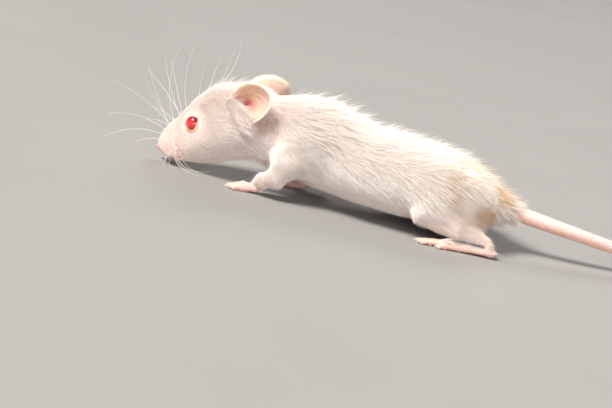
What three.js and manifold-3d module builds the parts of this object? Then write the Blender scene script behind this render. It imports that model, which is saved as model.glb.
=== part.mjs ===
// A white pet mouse (Mus musculus), life size: low, stretched forward, head down, one forepaw ahead.
// Millimetres, +Z up. The mouse faces -X, its left side is -Y and its soles stand on z = 0.
// Distances along X are counted from the tip of the nose; the group that holds the pieces is then
// set so that the origin is under the middle of the whole.

import * as THREE from "three";
import { LoftGeometry } from "three/addons/geometries/LoftGeometry.js";
import { mergeVertices } from "three/addons/utils/BufferGeometryUtils.js";
import Module from "manifold-3d";

const wasm = await Module();
wasm.setup();

// ---------------------------------------------------------------- driving dimensions

const gap = 0.3; // between neighbouring pieces

// Trunk, as upright oval rings: height of the back, height of the belly, half width.
const trunkRings = [
  { x: 18, back: 21.2, belly: 8.4, side: 6.8 },
  { x: 26, back: 22.5, belly: 5.3, side: 8.4 },
  { x: 34, back: 23.7, belly: 3.6, side: 9.9 },
  { x: 42, back: 22.6, belly: 2.8, side: 10.8 },
  { x: 50, back: 20.8, belly: 2.1, side: 11.9 },
  { x: 59, back: 20.2, belly: 1.9, side: 12.6 },
  { x: 67.5, back: 18.7, belly: 2.4, side: 12.2 },
  { x: 75, back: 16.3, belly: 3.4, side: 10.2 },
  { x: 79.5, back: 13.9, belly: 4.7, side: 7.4 },
  { x: 82.3, back: 12.0, belly: 6.3, side: 4.2 },
  { x: 83.6, back: 11.1, belly: 7.3, side: 1.9 },
];
const trunkWidest = 0.45; // level of the widest place, as a share of the height

// Head, in a frame of its own: s runs from the nose tip along the head, crown and jaw are heights
// above its axis.
const headRings = [
  { s: -0.2, crown: 0.7, jaw: -1.1, cheek: 0.9 },
  { s: 0.6, crown: 1.9, jaw: -2.7, cheek: 1.9 },
  { s: 2, crown: 3.0, jaw: -4.2, cheek: 2.9 },
  { s: 4.5, crown: 4.1, jaw: -5.8, cheek: 4.0 },
  { s: 7.5, crown: 4.8, jaw: -7.3, cheek: 5.0 },
  { s: 10.5, crown: 5.9, jaw: -8.6, cheek: 5.9 },
  { s: 14.5, crown: 7.2, jaw: -9.9, cheek: 7.1 },
  { s: 19, crown: 7.8, jaw: -10.6, cheek: 7.8 },
  { s: 24, crown: 6.1, jaw: -10.6, cheek: 7.7 },
  { s: 28, crown: 3.6, jaw: -9.3, cheek: 7.4 },
];
const headWidest = 0.46;
const headPitch = 38; // degrees, nose down
const headYaw = 4; // degrees, turned to the mouse's right
const noseHeight = 2.8;
const neckPivot = 24; // the head turns about the upright line here

const eye = { s: 12.5, side: 4.6, height: 1.45, radius: 1.85 };
const eyeLooks = { s: -0.18, side: 0.88, height: 0.43 }; // outwards, a little up and forwards
const lid = { ring: 1.84, thick: 0.42, out: 0.78, long: 1.16, high: 0.94 };
const nosePad = { s: 0.35, height: 0.15, long: 1.15, wide: 1.35, high: 1.0 };
const nostril = { s: -0.35, side: 0.72, height: 0.2, radius: 0.36 };
const mouth = { middle: 0.6, height: -3.15, slope: -0.2, long: 6.2, wide: 9, thick: 0.36, deep: 0.7 };
const lips = { long: 7.1, thick: 1.5, rise: 0.25 };
const whiskerPad = { s: 4.6, side: 2.1, height: -1.6, long: 3.5, wide: 2.15, high: 2.4 };

// Ear, an oval cup with axes of its own: across it, up to its tip and inwards. Its lower end is
// sunk in the head and narrower, and the floor of the cup lies towards the front rim.
const ear = { s: 24.6, side: 8.5, height: -1.45, rightAhead: 0.7, rightAbove: 0.35 };
const earSize = { tall: 10.8, wide: 11.4, cup: 2.9, thick: 0.6, rim: 0.5 };
const earSet = { sunk: 1.9, narrow: 0.16, front: 2.2, floor: 0.06, round: 2.2, flare: 1.02, above: 4 };
const leftEarInward = { s: 0.12, side: -0.92, height: -0.36 };
const rightEarInward = { s: 0.35, side: -0.85, height: -0.38 };
const earUpward = { s: 0.8, side: 0.4, height: 0.42 };
const earBase = { up: 2.8, back: 0.9, long: 2.9, wide: 3.1, thick: 1.9 };
const earCanal = { front: 2.6, up: 4.6, radius: 1.25 };

// Legs. The near (left) forefoot and the far hind foot are ahead, as in a slow walk.
const stride = { foreRight: 9, hindRight: -8 };
const shoulder = { x: 35.6, side: 6.6, z: 12.4, wide: 4.2, high: 5.2 };
const upperArm = { x: 32.6, side: 8.2, z: 8.9, wide: 3.2, high: 4.1 };
const elbow = { x: 31.0, side: 8.8, z: 5.6, wide: 2.3, high: 2.8 };
const forearm = { x: 28.0, side: 8.3, z: 3.6, wide: 1.85, high: 2.1 };
const wrist = { x: 26.0, side: 7.7, z: 2.4, wide: 1.4, high: 1.45 };
const haunch = { x: 71.2, side: 8.2, z: 9.4, long: 9.6, wide: 4.9, high: 6.9, tilt: 14, follows: 0.3 };
const knee = { x: 65.0, side: 12.0, z: 6.2, wide: 2.5, high: 3.0 };
const shank = { x: 72.8, side: 12.2, z: 4.7, wide: 2.0, high: 2.3 };
const ankle = { x: 80.8, side: 11.4, z: 3.4, wide: 1.55, high: 1.6 };

// Feet: heel is how far the heel lies behind the wrist or ankle, yaw how far the foot turns out.
const foreFoot = {
  heel: 0.4,
  length: 3.7,
  wide: 3.3,
  high: 1.9,
  yaw: 4,
  splay: 16,
  thick: 0.52,
  toes: [
    { out: -0.85, from: 0.86, long: 2.0 },
    { out: -0.3, from: 1.0, long: 2.5 },
    { out: 0.28, from: 1.0, long: 2.5 },
    { out: 0.85, from: 0.84, long: 2.0 },
  ],
};
const hindFoot = {
  heel: 1.6,
  length: 12.6,
  wide: 3.2,
  high: 2.3,
  yaw: 6,
  splay: 15,
  thick: 0.56,
  toes: [
    { out: -1.0, from: 0.8, long: 2.9 },
    { out: -0.5, from: 0.97, long: 4.2 },
    { out: 0, from: 1.0, long: 4.5 },
    { out: 0.5, from: 0.97, long: 4.2 },
    { out: 1.0, from: 0.76, long: 2.9 },
  ],
};
const toeSpread = 0.36; // from the middle of the foot to its outer toes, as a share of its width

// A foot from heel to toes: place along it, height of its middle, half width and half height, as
// shares of its length, its height, its width and its height.
const footStops = [
  { along: 0, middle: 0.55, wide: 0.34, high: 0.55 },
  { along: 0.5, middle: 0.46, wide: 0.38, high: 0.5 },
  { along: 0.85, middle: 0.36, wide: 0.5, high: 0.4 },
  { along: 1, middle: 0.32, wide: 0.46, high: 0.34 },
];

// A toe from its root to its tip: place as a share of its length, middle and half sizes as shares
// of its thickness.
const toeStops = [
  { along: -0.35, middle: 1.48, wide: 1, high: 1 },
  { along: 0.3, middle: 1.84, wide: 0.92, high: 0.92 },
  { along: 0.72, middle: 1.19, wide: 0.9, high: 0.82 },
  { along: 0.95, middle: 0.82, wide: 0.86, high: 0.8 },
];

// A claw from inside the toe's tip to its point, in millimetres past the tip and above the floor.
const clawStops = [
  { past: -0.3, middle: 0.66, wide: 0.3, high: 0.32 },
  { past: 0.45, middle: 0.62, wide: 0.24, high: 0.26 },
  { past: 0.9, middle: 0.3, wide: 0.12, high: 0.14 },
];

// Tail: it leaves the rump level, sinks to the floor and lies there in a slow curve.
const tailStops = [
  { x: 82.4, y: 0, z: 9.3, radius: 1.88 },
  { x: 96, y: 1.6, z: 7.6, radius: 1.6 },
  { x: 109, y: 5, z: 5.6, radius: 1.36 },
  { x: 122, y: 8.6, z: 3.1, radius: 1.16 },
  { x: 134.5, y: 10.8, z: 1.1, radius: 0.95 },
  { x: 146, y: 10.4, z: 0.62, radius: 0.7 },
  { x: 157, y: 7.4, z: 0.34, radius: 0.4 },
];
const tailCuts = [0, 0.26, 0.52, 0.77, 1]; // shares of its length

// Where the body is parted: each piece ends at an upright plane that leans back by lean degrees.
const cuts = {
  head: { x: 25.1, z: 15.4, lean: 24.7 },
  neck: { x: 31.5, z: 14, lean: 16.7 },
  chest: { x: 47, z: 11, lean: 0 },
  belly: { x: 64, z: 11, lean: 0 },
};

// How finely each shape is faceted: sides of a ring, steps between its rows, rings in a round end.
const facets = {
  head: { sides: 28, steps: 18 },
  insideHead: { sides: 16, steps: 10 },
  trunk: { sides: 32, steps: 24 },
  ear: { sides: 24, steps: 7 },
  lid: { sides: 16, steps: 5 },
  foreLeg: { sides: 14, steps: 2, ends: 3 },
  hindLeg: { sides: 12, steps: 2, ends: 2 },
  sole: { sides: 12, steps: 2, ends: 1 },
  toe: { sides: 6, steps: 1, ends: 1 },
  claw: { sides: 4, steps: 1, ends: 0 },
  tail: { sides: 10, steps: 12 },
};
const ballSides = { eye: 14, mouth: 16, pad: 12, nostril: 8, earRoot: 14, canal: 12, haunch: 18 };

// ---------------------------------------------------------------- materials

function finish(color, roughness) {
  return new THREE.MeshStandardMaterial({ color, roughness, metalness: 0 });
}

const fur = finish(0xf4efe6, 0.9);
const earSkin = finish(0xecc7ae, 0.7);
const footSkin = finish(0xe3a78f, 0.7);
const tailSkin = finish(0xdcb3a4, 0.75);
const redEye = finish(0xc4232b, 0.08);

// ---------------------------------------------------------------- small tools

const vector = (x, y, z) => new THREE.Vector3(x, y, z);
const radians = THREE.MathUtils.degToRad;
const upward = vector(0, 0, 1);
const nowhere = new THREE.Matrix4();

// A closed three.js geometry, moved to its place, as a solid whose faces point outwards.
function solidOf(geometry, place = nowhere) {
  const bare = new THREE.BufferGeometry();
  bare.setAttribute("position", geometry.attributes.position);
  bare.setIndex(geometry.index);
  const merged = mergeVertices(bare, 1e-5).applyMatrix4(place);
  const points = merged.attributes.position;
  const corners = new Uint32Array(merged.index.array);
  const [a, b, c] = [vector(), vector(), vector()];
  let volume = 0;
  for (let i = 0; i < corners.length; i += 3) {
    a.fromBufferAttribute(points, corners[i]);
    b.fromBufferAttribute(points, corners[i + 1]);
    c.fromBufferAttribute(points, corners[i + 2]);
    volume += a.dot(b.cross(c));
  }
  if (volume < 0) corners.reverse();
  const mesh = new wasm.Mesh({
    numProp: 3,
    vertProperties: new Float32Array(points.array),
    triVerts: corners,
  });
  return new wasm.Manifold(mesh);
}

function joined(solids) {
  return solids.reduce((whole, next) => whole.add(next));
}

// Keeps the largest body of a solid that a cut has parted.
function largest(solid) {
  const bodies = solid.decompose();
  return bodies.reduce((best, next) => (next.volume() > best.volume() ? next : best));
}

// Reads one column of a table at any place between its first and last row, as a smooth curve
// through the rows that never swings past them.
function smoothColumn(rows, place, column) {
  const at = rows.map((row) => row[place]);
  const value = rows.map((row) => row[column]);
  const last = rows.length - 1;
  const rise = (i) => (value[i + 1] - value[i]) / (at[i + 1] - at[i]);
  const slopes = value.map((_, i) => {
    if (i === 0) return rise(0);
    if (i === last) return rise(last - 1);
    const [before, after] = [rise(i - 1), rise(i)];
    return before * after <= 0 ? 0 : (2 * before * after) / (before + after);
  });
  return (x) => {
    const limited = Math.min(Math.max(x, at[0]), at[last]);
    let i = 0;
    while (i < last - 1 && limited > at[i + 1]) i++;
    const width = at[i + 1] - at[i];
    const t = (limited - at[i]) / width;
    const [t2, t3] = [t * t, t * t * t];
    return (
      value[i] * (2 * t3 - 3 * t2 + 1) +
      slopes[i] * width * (t3 - 2 * t2 + t) +
      value[i + 1] * (3 * t2 - 2 * t3) +
      slopes[i + 1] * width * (t3 - t2)
    );
  };
}

// A ring of points about a centre; reach gives how far each lies across and above, by its angle.
function ring(centre, across, above, sides, reach) {
  return Array.from({ length: sides }, (_, i) => {
    const [out, up] = reach((2 * Math.PI * i) / sides);
    return centre.clone().addScaledVector(across, out).addScaledVector(above, up);
  });
}

function oval(wide, high) {
  return (angle) => [wide * Math.cos(angle), high * Math.sin(angle)];
}

// An upright oval at x, with its own top and bottom and its widest place between them.
function uprightRing(x, top, bottom, side, widest, sides) {
  const middle = bottom + widest * (top - bottom);
  return ring(vector(x, 0, middle), vector(0, 1, 0), upward, sides, (angle) => {
    const rise = Math.sin(angle) > 0 ? top - middle : middle - bottom;
    return [side * Math.cos(angle), rise * Math.sin(angle)];
  });
}

function loft(rings) {
  return new LoftGeometry(rings, { capStart: true, capEnd: true });
}

// A limb: oval rings across a smooth path through stops {at, wide, high}, with round ends.
function limb(stops, facet) {
  const path = new THREE.CatmullRomCurve3(stops.map((stop) => stop.at));
  const girth = new THREE.CatmullRomCurve3(
    stops.map((stop) => vector(stop.wide, stop.high, 0)),
    false,
    "catmullrom",
    0.5,
  );
  const steps = facet.steps * (stops.length - 1);
  const roundEnd = radians(75); // a full 90 would close the end to a point
  const rings = [];
  const addRing = (t, bend) => {
    const heading = path.getTangent(t);
    const across = upward.clone().cross(heading).normalize();
    const above = heading.clone().cross(across);
    const size = girth.getPoint(t);
    const past = Math.sin(bend) * Math.min(size.x, size.y);
    const centre = path.getPoint(t).addScaledVector(heading, past);
    const shrink = Math.cos(bend);
    rings.push(ring(centre, across, above, facet.sides, oval(shrink * size.x, shrink * size.y)));
  };
  for (let i = facet.ends; i > 0; i--) addRing(0, (-roundEnd * i) / facet.ends);
  for (let i = 0; i <= steps; i++) addRing(i / steps, 0);
  for (let i = 1; i <= facet.ends; i++) addRing(1, (roundEnd * i) / facet.ends);
  return solidOf(loft(rings));
}

// An ellipsoid with the given half sizes, turned by tilt degrees about Y and moved to its centre.
function ball(centre, half, sides, tilt = 0) {
  return new THREE.SphereGeometry(1, sides, Math.round(sides * 0.6))
    .rotateX(Math.PI / 2)
    .scale(...half)
    .rotateY(radians(tilt))
    .translate(...centre);
}

// The part of a solid on one side of a leaning cut: sign 1 is behind it, -1 ahead of it.
function besideCut(solid, cut, sign) {
  const normal = [sign * Math.cos(radians(cut.lean)), 0, sign * Math.sin(radians(cut.lean))];
  return solid.trimByPlane(normal, normal[0] * cut.x + normal[2] * cut.z + gap / 2);
}

function onFloor(solid) {
  return solid.trimByPlane([0, 0, 1], 0);
}

// ---------------------------------------------------------------- head

const headPlace = new THREE.Matrix4()
  .makeTranslation(neckPivot, 0, 0)
  .multiply(new THREE.Matrix4().makeRotationZ(-radians(headYaw)))
  .multiply(new THREE.Matrix4().makeTranslation(-neckPivot, 0, noseHeight))
  .multiply(new THREE.Matrix4().makeRotationY(-radians(headPitch)));

const crownAt = smoothColumn(headRings, "s", "crown");
const jawAt = smoothColumn(headRings, "s", "jaw");
const cheekAt = smoothColumn(headRings, "s", "cheek");

// The bare shape of the head, grown outwards on every side; its rings lie closer at the nose.
function headShape(grow, { sides, steps } = facets.head) {
  const [first, last] = [headRings[0].s, headRings.at(-1).s];
  const rings = [];
  for (let i = 0; i <= steps; i++) {
    const share = i / steps;
    const s = first + (last - first) * share ** 1.5;
    const [crown, jaw, cheek] = [crownAt(s) + grow, jawAt(s) - grow, cheekAt(s) + grow];
    rings.push(uprightRing(s - grow * (1 - share), crown, jaw, cheek, headWidest, sides));
  }
  return solidOf(loft(rings), headPlace);
}

// A flat lens along the mouth line, which thins towards the corners of the mouth.
function mouthLens(long, thick) {
  const lens = ball([0, 0, 0], [long, mouth.wide, thick / 2], ballSides.mouth)
    .rotateY(-Math.atan(mouth.slope))
    .translate(mouth.middle, 0, mouth.height);
  return solidOf(lens, headPlace);
}

function lidRing(side) {
  const outward = vector(eyeLooks.s, side * eyeLooks.side, eyeLooks.height).normalize();
  const along = vector(1, 0, 0).addScaledVector(outward, -outward.x).normalize();
  const place = new THREE.Matrix4()
    .makeBasis(along, outward.clone().cross(along), outward)
    .setPosition(eye.s, side * eye.side, eye.height)
    .multiply(new THREE.Matrix4().makeTranslation(0, 0, lid.out));
  const round = new THREE.TorusGeometry(lid.ring, lid.thick, facets.lid.steps, facets.lid.sides);
  round.scale(lid.long, lid.high, 1);
  return solidOf(round, headPlace.clone().multiply(place));
}

function eyeBall(centre, radius) {
  return ball(centre, [radius, radius, radius], ballSides.eye);
}

function headSolid() {
  const onHead = (centre, half, sides) => solidOf(ball(centre, half, sides), headPlace);
  const nose = [nosePad.s, 0, nosePad.height];
  const band = mouthLens(lips.long, lips.thick).intersect(headShape(lips.rise, facets.insideHead));
  const pieces = [headShape(0), band];
  pieces.push(onHead(nose, [nosePad.long, nosePad.wide, nosePad.high], ballSides.pad));
  const core = headShape(-mouth.deep, facets.insideHead);
  const holes = [mouthLens(mouth.long, mouth.thick).subtract(core)];
  for (const side of [-1, 1]) {
    const pad = [whiskerPad.s, side * whiskerPad.side, whiskerPad.height];
    pieces.push(onHead(pad, [whiskerPad.long, whiskerPad.wide, whiskerPad.high], ballSides.pad));
    pieces.push(lidRing(side));
    const opening = [nostril.s, side * nostril.side, nostril.height];
    holes.push(onHead(opening, Array(3).fill(nostril.radius), ballSides.nostril));
    holes.push(solidOf(eyeBall([eye.s, side * eye.side, eye.height], eye.radius + gap), headPlace));
  }
  return joined(pieces).subtract(joined(holes));
}

// ---------------------------------------------------------------- ears

// The place of an ear on the head: it opens outwards and leans back. The right one is a little
// further ahead and higher.
function earPlace(side) {
  const facing = side > 0 ? rightEarInward : leftEarInward;
  const inward = vector(facing.s, side * facing.side, facing.height).normalize();
  const up = vector(earUpward.s, side * earUpward.side, earUpward.height);
  up.addScaledVector(inward, -up.dot(inward)).normalize();
  const [ahead, above] = side > 0 ? [ear.rightAhead, ear.rightAbove] : [0, 0];
  return new THREE.Matrix4()
    .makeBasis(up.clone().cross(inward), up, inward)
    .setPosition(ear.s - ahead, side * ear.side, ear.height + above);
}

// A dome of oval rings from the rim of the ear in to its floor, and from past mm outside the rim.
function earDome(side, inset, floor, past, place) {
  const rings = [];
  const addRing = (share, deep) => {
    const middle = vector(-side * earSet.front * (1 - share), earSize.tall / 2 - earSet.sunk, deep);
    const shape = (angle) => {
      const narrow = 1 - earSet.narrow * Math.max(0, -Math.sin(angle));
      const out = (earSize.wide / 2 - inset) * share * narrow * Math.cos(angle);
      return [out, (earSize.tall / 2 - inset) * share * Math.sin(angle)];
    };
    rings.push(ring(middle, vector(1, 0, 0), vector(0, 1, 0), facets.ear.sides, shape));
  };
  if (past > 0) addRing(earSet.flare, -past);
  for (let i = facets.ear.steps; i >= 0; i--) {
    const share = earSet.floor + (1 - earSet.floor) * (i / facets.ear.steps);
    addRing(share, floor * (1 - share ** earSet.round));
  }
  return solidOf(loft(rings), place);
}

// The thick root at the back of the cup.
function earRoot(side, grow, place) {
  const half = [earBase.wide + grow, earBase.long + grow, earBase.thick + grow];
  const centre = [-side * earSet.front, earBase.up, earSize.cup + earBase.back];
  return solidOf(ball(centre, half, ballSides.earRoot), place);
}

function earCup(side) {
  const shell = earDome(side, 0, earSize.cup + earSize.thick, 0).add(earRoot(side, 0));
  const hollow = earDome(side, earSize.rim, earSize.cup, 1);
  const end = [-side * earCanal.front, earCanal.up, earSize.cup];
  const canal = solidOf(ball(end, Array(3).fill(earCanal.radius), ballSides.canal));
  return shell.subtract(hollow).subtract(canal);
}

// What the ear takes out of the head and neck: its cup and root, and all that would cover them.
function earRoom(side) {
  const place = headPlace.clone().multiply(earPlace(side));
  const room = earDome(side, -gap, earSize.cup + earSize.thick + gap, earSet.above, place);
  return room.add(earRoot(side, gap, place));
}

// ---------------------------------------------------------------- trunk

const backAt = smoothColumn(trunkRings, "x", "back");
const bellyAt = smoothColumn(trunkRings, "x", "belly");
const sideAt = smoothColumn(trunkRings, "x", "side");

function trunkSolid(grow) {
  const { sides, steps } = facets.trunk;
  const [first, last] = [trunkRings[0].x, trunkRings.at(-1).x];
  const rings = [];
  for (let i = 0; i <= steps; i++) {
    const x = first + ((last - first) * i) / steps;
    const [back, belly, side] = [backAt(x) + grow, bellyAt(x) - grow, sideAt(x) + grow];
    rings.push(uprightRing(x, back, belly, side, trunkWidest, sides));
  }
  return solidOf(loft(rings));
}

// ---------------------------------------------------------------- legs and feet

function stop(joint, side, shift, grow) {
  return {
    at: vector(joint.x + shift, side * joint.side, joint.z),
    wide: joint.wide + grow,
    high: joint.high + grow,
  };
}

function foreLeg(side, shift, grow) {
  const follows = [0, 0.4, 1, 1, 1]; // how far each joint goes with the stride
  const joints = [shoulder, upperArm, elbow, forearm, wrist];
  const stops = joints.map((joint, i) => stop(joint, side, shift * follows[i], grow));
  return limb(stops, facets.foreLeg);
}

function hindLeg(side, shift, grow) {
  const centre = [haunch.x + shift * haunch.follows, side * haunch.side, haunch.z];
  const half = [haunch.long + grow, haunch.wide + grow, haunch.high + grow];
  const stops = [knee, shank, ankle].map((joint) => stop(joint, side, shift, grow));
  const thigh = solidOf(ball(centre, half, ballSides.haunch, haunch.tilt));
  return thigh.add(limb(stops, facets.hindLeg));
}

// One toe from its root along its heading, with the claw that points down at its tip.
function toe(root, heading, long, thick) {
  const along = (distance, height) => root.clone().addScaledVector(heading, distance).setZ(height);
  const flesh = toeStops.map((each) => ({
    at: along(each.along * long, each.middle * thick),
    wide: each.wide * thick,
    high: each.high * thick,
  }));
  const claw = clawStops.map((each) => ({
    at: along(long + each.past, each.middle),
    wide: each.wide,
    high: each.high,
  }));
  return [limb(flesh, facets.toe), limb(claw, facets.claw)];
}

// A foot that points along -X from its heel, turned outwards by its yaw: a low sole with toes.
function foot(size, heel, side) {
  const yaw = radians(size.yaw);
  const headingAt = (angle) => vector(-Math.cos(angle), side * Math.sin(angle), 0);
  const across = vector(Math.sin(yaw), side * Math.cos(yaw), 0);
  const at = (share, out) =>
    heel.clone().addScaledVector(headingAt(yaw), share * size.length).addScaledVector(across, out);
  const sole = footStops.map((each) => ({
    at: at(each.along, 0).setZ(each.middle * size.high),
    wide: each.wide * size.wide,
    high: each.high * size.high,
  }));
  const solids = [limb(sole, facets.sole)];
  for (const each of size.toes) {
    const root = at(each.from, each.out * size.wide * toeSpread);
    const heading = headingAt(radians(size.splay * each.out) + yaw);
    solids.push(...toe(root, heading, each.long, size.thick));
  }
  return onFloor(joined(solids));
}

// ---------------------------------------------------------------- tail

const tailPath = new THREE.CatmullRomCurve3(tailStops.map((each) => vector(each.x, each.y, each.z)));
const tailRadius = smoothColumn(tailStops, "x", "radius");

function tailLength(from, to) {
  const { sides, steps } = facets.tail;
  const rings = [];
  for (let i = 0; i <= steps; i++) {
    const t = from + ((to - from) * i) / steps;
    const centre = tailPath.getPointAt(t);
    const heading = tailPath.getTangentAt(t);
    const across = upward.clone().cross(heading).normalize();
    const above = heading.clone().cross(across);
    const radius = tailRadius(centre.x);
    rings.push(ring(centre, across, above, sides, oval(radius, radius)));
  }
  return onFloor(solidOf(loft(rings)));
}

// ---------------------------------------------------------------- assembly

const mouse = new THREE.Group();
const body = new THREE.Group();
const skull = new THREE.Group();
mouse.add(body);
body.add(skull);
skull.applyMatrix4(headPlace);

function addNode(name, solid, material, group = body) {
  const mesh = solid.getMesh();
  const geometry = new THREE.BufferGeometry();
  const points = new THREE.BufferAttribute(new Float32Array(mesh.vertProperties), 3);
  geometry.setAttribute("position", points);
  geometry.setIndex(new THREE.BufferAttribute(new Uint32Array(mesh.triVerts), 1));
  geometry.computeVertexNormals();
  const node = new THREE.Mesh(geometry, material.clone());
  node.name = name;
  group.add(node);
  return node;
}

// Head and trunk are one solid with room for the ears, parted by the cuts from head to rump.
let rest = headSolid().add(trunkSolid(0)).subtract(earRoom(-1).add(earRoom(1)));
for (const [name, cut] of Object.entries(cuts)) {
  addNode(name, largest(besideCut(rest, cut, -1)), fur);
  rest = besideCut(rest, cut, 1);
}
addNode("rump", largest(rest), fur);

const grownBody = headShape(gap).add(trunkSolid(gap));
for (const [name, side] of Object.entries({ left: -1, right: 1 })) {
  const eyeNode = addNode("eye_" + name, solidOf(eyeBall([0, 0, 0], eye.radius)), redEye, skull);
  eyeNode.position.set(eye.s, side * eye.side, eye.height);
  addNode("ear_" + name, largest(earCup(side)), earSkin, skull).applyMatrix4(earPlace(side));

  const foreShift = side > 0 ? stride.foreRight : 0;
  const hindShift = side > 0 ? stride.hindRight : 0;
  const foreHeel = vector(wrist.x + foreShift + foreFoot.heel, side * wrist.side, 0);
  const hindHeel = vector(ankle.x + hindShift + hindFoot.heel, side * ankle.side, 0);
  const foreHand = foot(foreFoot, foreHeel, side).subtract(foreLeg(side, foreShift, gap));
  const hindPaw = foot(hindFoot, hindHeel, side).subtract(hindLeg(side, hindShift, gap));
  addNode("foreleg_" + name, largest(foreLeg(side, foreShift, 0).subtract(grownBody)), fur);
  addNode("hindleg_" + name, largest(hindLeg(side, hindShift, 0).subtract(grownBody)), fur);
  addNode("forefoot_" + name, largest(foreHand), footSkin);
  addNode("hindfoot_" + name, largest(hindPaw), footSkin);
}

const tailGap = gap / tailPath.getLength();
for (let i = 0; i < tailCuts.length - 1; i++) {
  const length = tailLength(tailCuts[i] + tailGap, tailCuts[i + 1]);
  addNode("tail_" + (i + 1), i > 0 ? length : largest(length.subtract(grownBody)), tailSkin);
}

const box = new THREE.Box3().setFromObject(mouse, true);
const middle = box.getCenter(vector());
body.position.set(-middle.x, -middle.y, -box.min.z);

export default mouse;
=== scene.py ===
import bpy
import math
import numpy as np
from mathutils import Matrix, Vector


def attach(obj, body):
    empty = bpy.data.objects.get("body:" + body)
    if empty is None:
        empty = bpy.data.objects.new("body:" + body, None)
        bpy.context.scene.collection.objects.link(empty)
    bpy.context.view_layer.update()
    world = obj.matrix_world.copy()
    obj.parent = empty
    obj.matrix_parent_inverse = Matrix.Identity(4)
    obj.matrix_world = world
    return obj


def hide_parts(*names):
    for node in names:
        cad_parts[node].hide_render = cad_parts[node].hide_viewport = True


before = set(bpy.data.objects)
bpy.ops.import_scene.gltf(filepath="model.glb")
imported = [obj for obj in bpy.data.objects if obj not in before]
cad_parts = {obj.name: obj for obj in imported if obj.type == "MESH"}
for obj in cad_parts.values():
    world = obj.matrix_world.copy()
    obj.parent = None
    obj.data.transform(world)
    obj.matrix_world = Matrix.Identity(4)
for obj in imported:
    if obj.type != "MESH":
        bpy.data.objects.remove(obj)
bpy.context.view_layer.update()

# Sizes are in millimetres, in the frame of the solids: nose towards -X, floor at z = 0.
mm = 0.001
noseShift = 78.1285        # from x counted from the nose tip to x in the frame
left, right = -1, 1
print("frame loaded")


# ---- numbers and curves

def smoothStep(low, high, x):
    # 0 below low, 1 above high, 3t^2 - 2t^3 between
    t = np.clip((x - low) / (high - low), 0, 1)
    return t * t * (3 - 2 * t)


def bell(x, width):
    # 1 at x = 0, falling off as exp(-(x / width)^2)
    return np.exp(-(x / width) ** 2)


def unit(v):
    return v / np.maximum(np.linalg.norm(v, axis=-1, keepdims=True), 1e-9)


def smoothColumn(rows, column, x):
    # the smooth curve through (row[0], row[column]) that never swings past the rows
    at = np.array([row[0] for row in rows], float)
    value = np.array([row[column] for row in rows], float)
    rise = np.diff(value) / np.diff(at)
    slope = np.empty_like(value)
    slope[0], slope[-1] = rise[0], rise[-1]
    before, after = rise[:-1], rise[1:]
    same = before * after > 0
    slope[1:-1] = np.where(same, 2 * before * after / np.where(same, before + after, 1), 0)
    x = np.clip(x, at[0], at[-1])
    i = np.clip(np.searchsorted(at, x) - 1, 0, len(at) - 2)
    width = at[i + 1] - at[i]
    t = (x - at[i]) / width
    return (value[i] * (2 * t**3 - 3 * t**2 + 1) + slope[i] * width * (t**3 - 2 * t**2 + t)
            + value[i + 1] * (3 * t**2 - 2 * t**3) + slope[i + 1] * width * (t**3 - t**2))


def pathThrough(stops, count):
    # a Catmull-Rom curve through the stops, at count even steps of its length
    stops = np.array(stops, float)
    ends = np.vstack([2 * stops[0] - stops[1], stops, 2 * stops[-1] - stops[-2]])
    t = np.linspace(0, len(stops) - 1, 40 * len(stops))
    i = np.minimum(t.astype(int), len(stops) - 2)
    u = (t - i)[:, None]
    a, b, c, d = ends[i], ends[i + 1], ends[i + 2], ends[i + 3]
    fine = 0.5 * (2 * b + (c - a) * u + (2 * a - 5 * b + 4 * c - d) * u**2
                  + (3 * b - a - 3 * c + d) * u**3)
    run = np.r_[0, np.cumsum(np.linalg.norm(np.diff(fine, axis=0), axis=1))]
    even = np.linspace(0, run[-1], count)
    return np.column_stack([np.interp(even, run, fine[:, k]) for k in range(fine.shape[1])])


# ---- fields: a shape is where a function of the place is below zero

def smoothMin(a, b, k):
    # the lower of two fields, blended over k where they are close
    h = np.clip(0.5 + 0.5 * (b - a) / k, 0, 1)
    return b + (a - b) * h - k * h * (1 - h)


def smoothMax(a, b, k):
    return -smoothMin(-a, -b, k)


def ovalSection(across, up, top, bottom, half, widest):
    # distance to an upright oval that is widest at a share of its height
    middle = bottom + widest * (top - bottom)
    rise = np.where(up > middle, top - middle, middle - bottom)
    u, v = across / half, (up - middle) / rise
    r = np.sqrt(u * u + v * v) + 1e-9
    return r * (r - 1) / (np.sqrt((u / half) ** 2 + (v / rise) ** 2) + 1e-9)


def ball(p, centre, half, tilt=0):
    # distance to an ellipsoid turned by tilt degrees about Y: k0 (k0 - 1) / k1
    q = p - np.array(centre, float)
    c, s = math.cos(math.radians(tilt)), math.sin(math.radians(tilt))
    q = np.column_stack([c * q[:, 0] - s * q[:, 2], q[:, 1], s * q[:, 0] + c * q[:, 2]])
    half = np.array(half, float)
    k0 = np.linalg.norm(q / half, axis=1)
    k1 = np.linalg.norm(q / half**2, axis=1) + 1e-9
    return k0 * (k0 - 1) / k1


def cone(p, a, b, ra, rb, squash=1.0):
    # distance to the hull of two balls, lower than it is wide by squash
    scale = np.array([1, 1, 1 / squash])
    p, a, b = p * scale, np.array(a) * scale, np.array(b) * scale
    along = b - a
    t = np.clip((p - a) @ along / (along @ along), 0, 1)
    return (np.linalg.norm(p - a - t[:, None] * along, axis=1) - ra - t * (rb - ra)) * squash


def chain(p, stops, k, grow=0.0, squash=1.0):
    # cones from stop to stop (x, y, z, radius), blended over k
    f = None
    for a, b in zip(stops[:-1], stops[1:]):
        g = cone(p, a[:3], b[:3], a[3] + grow, b[3] + grow, squash)
        f = g if f is None else smoothMin(f, g, k)
    return f


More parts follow.
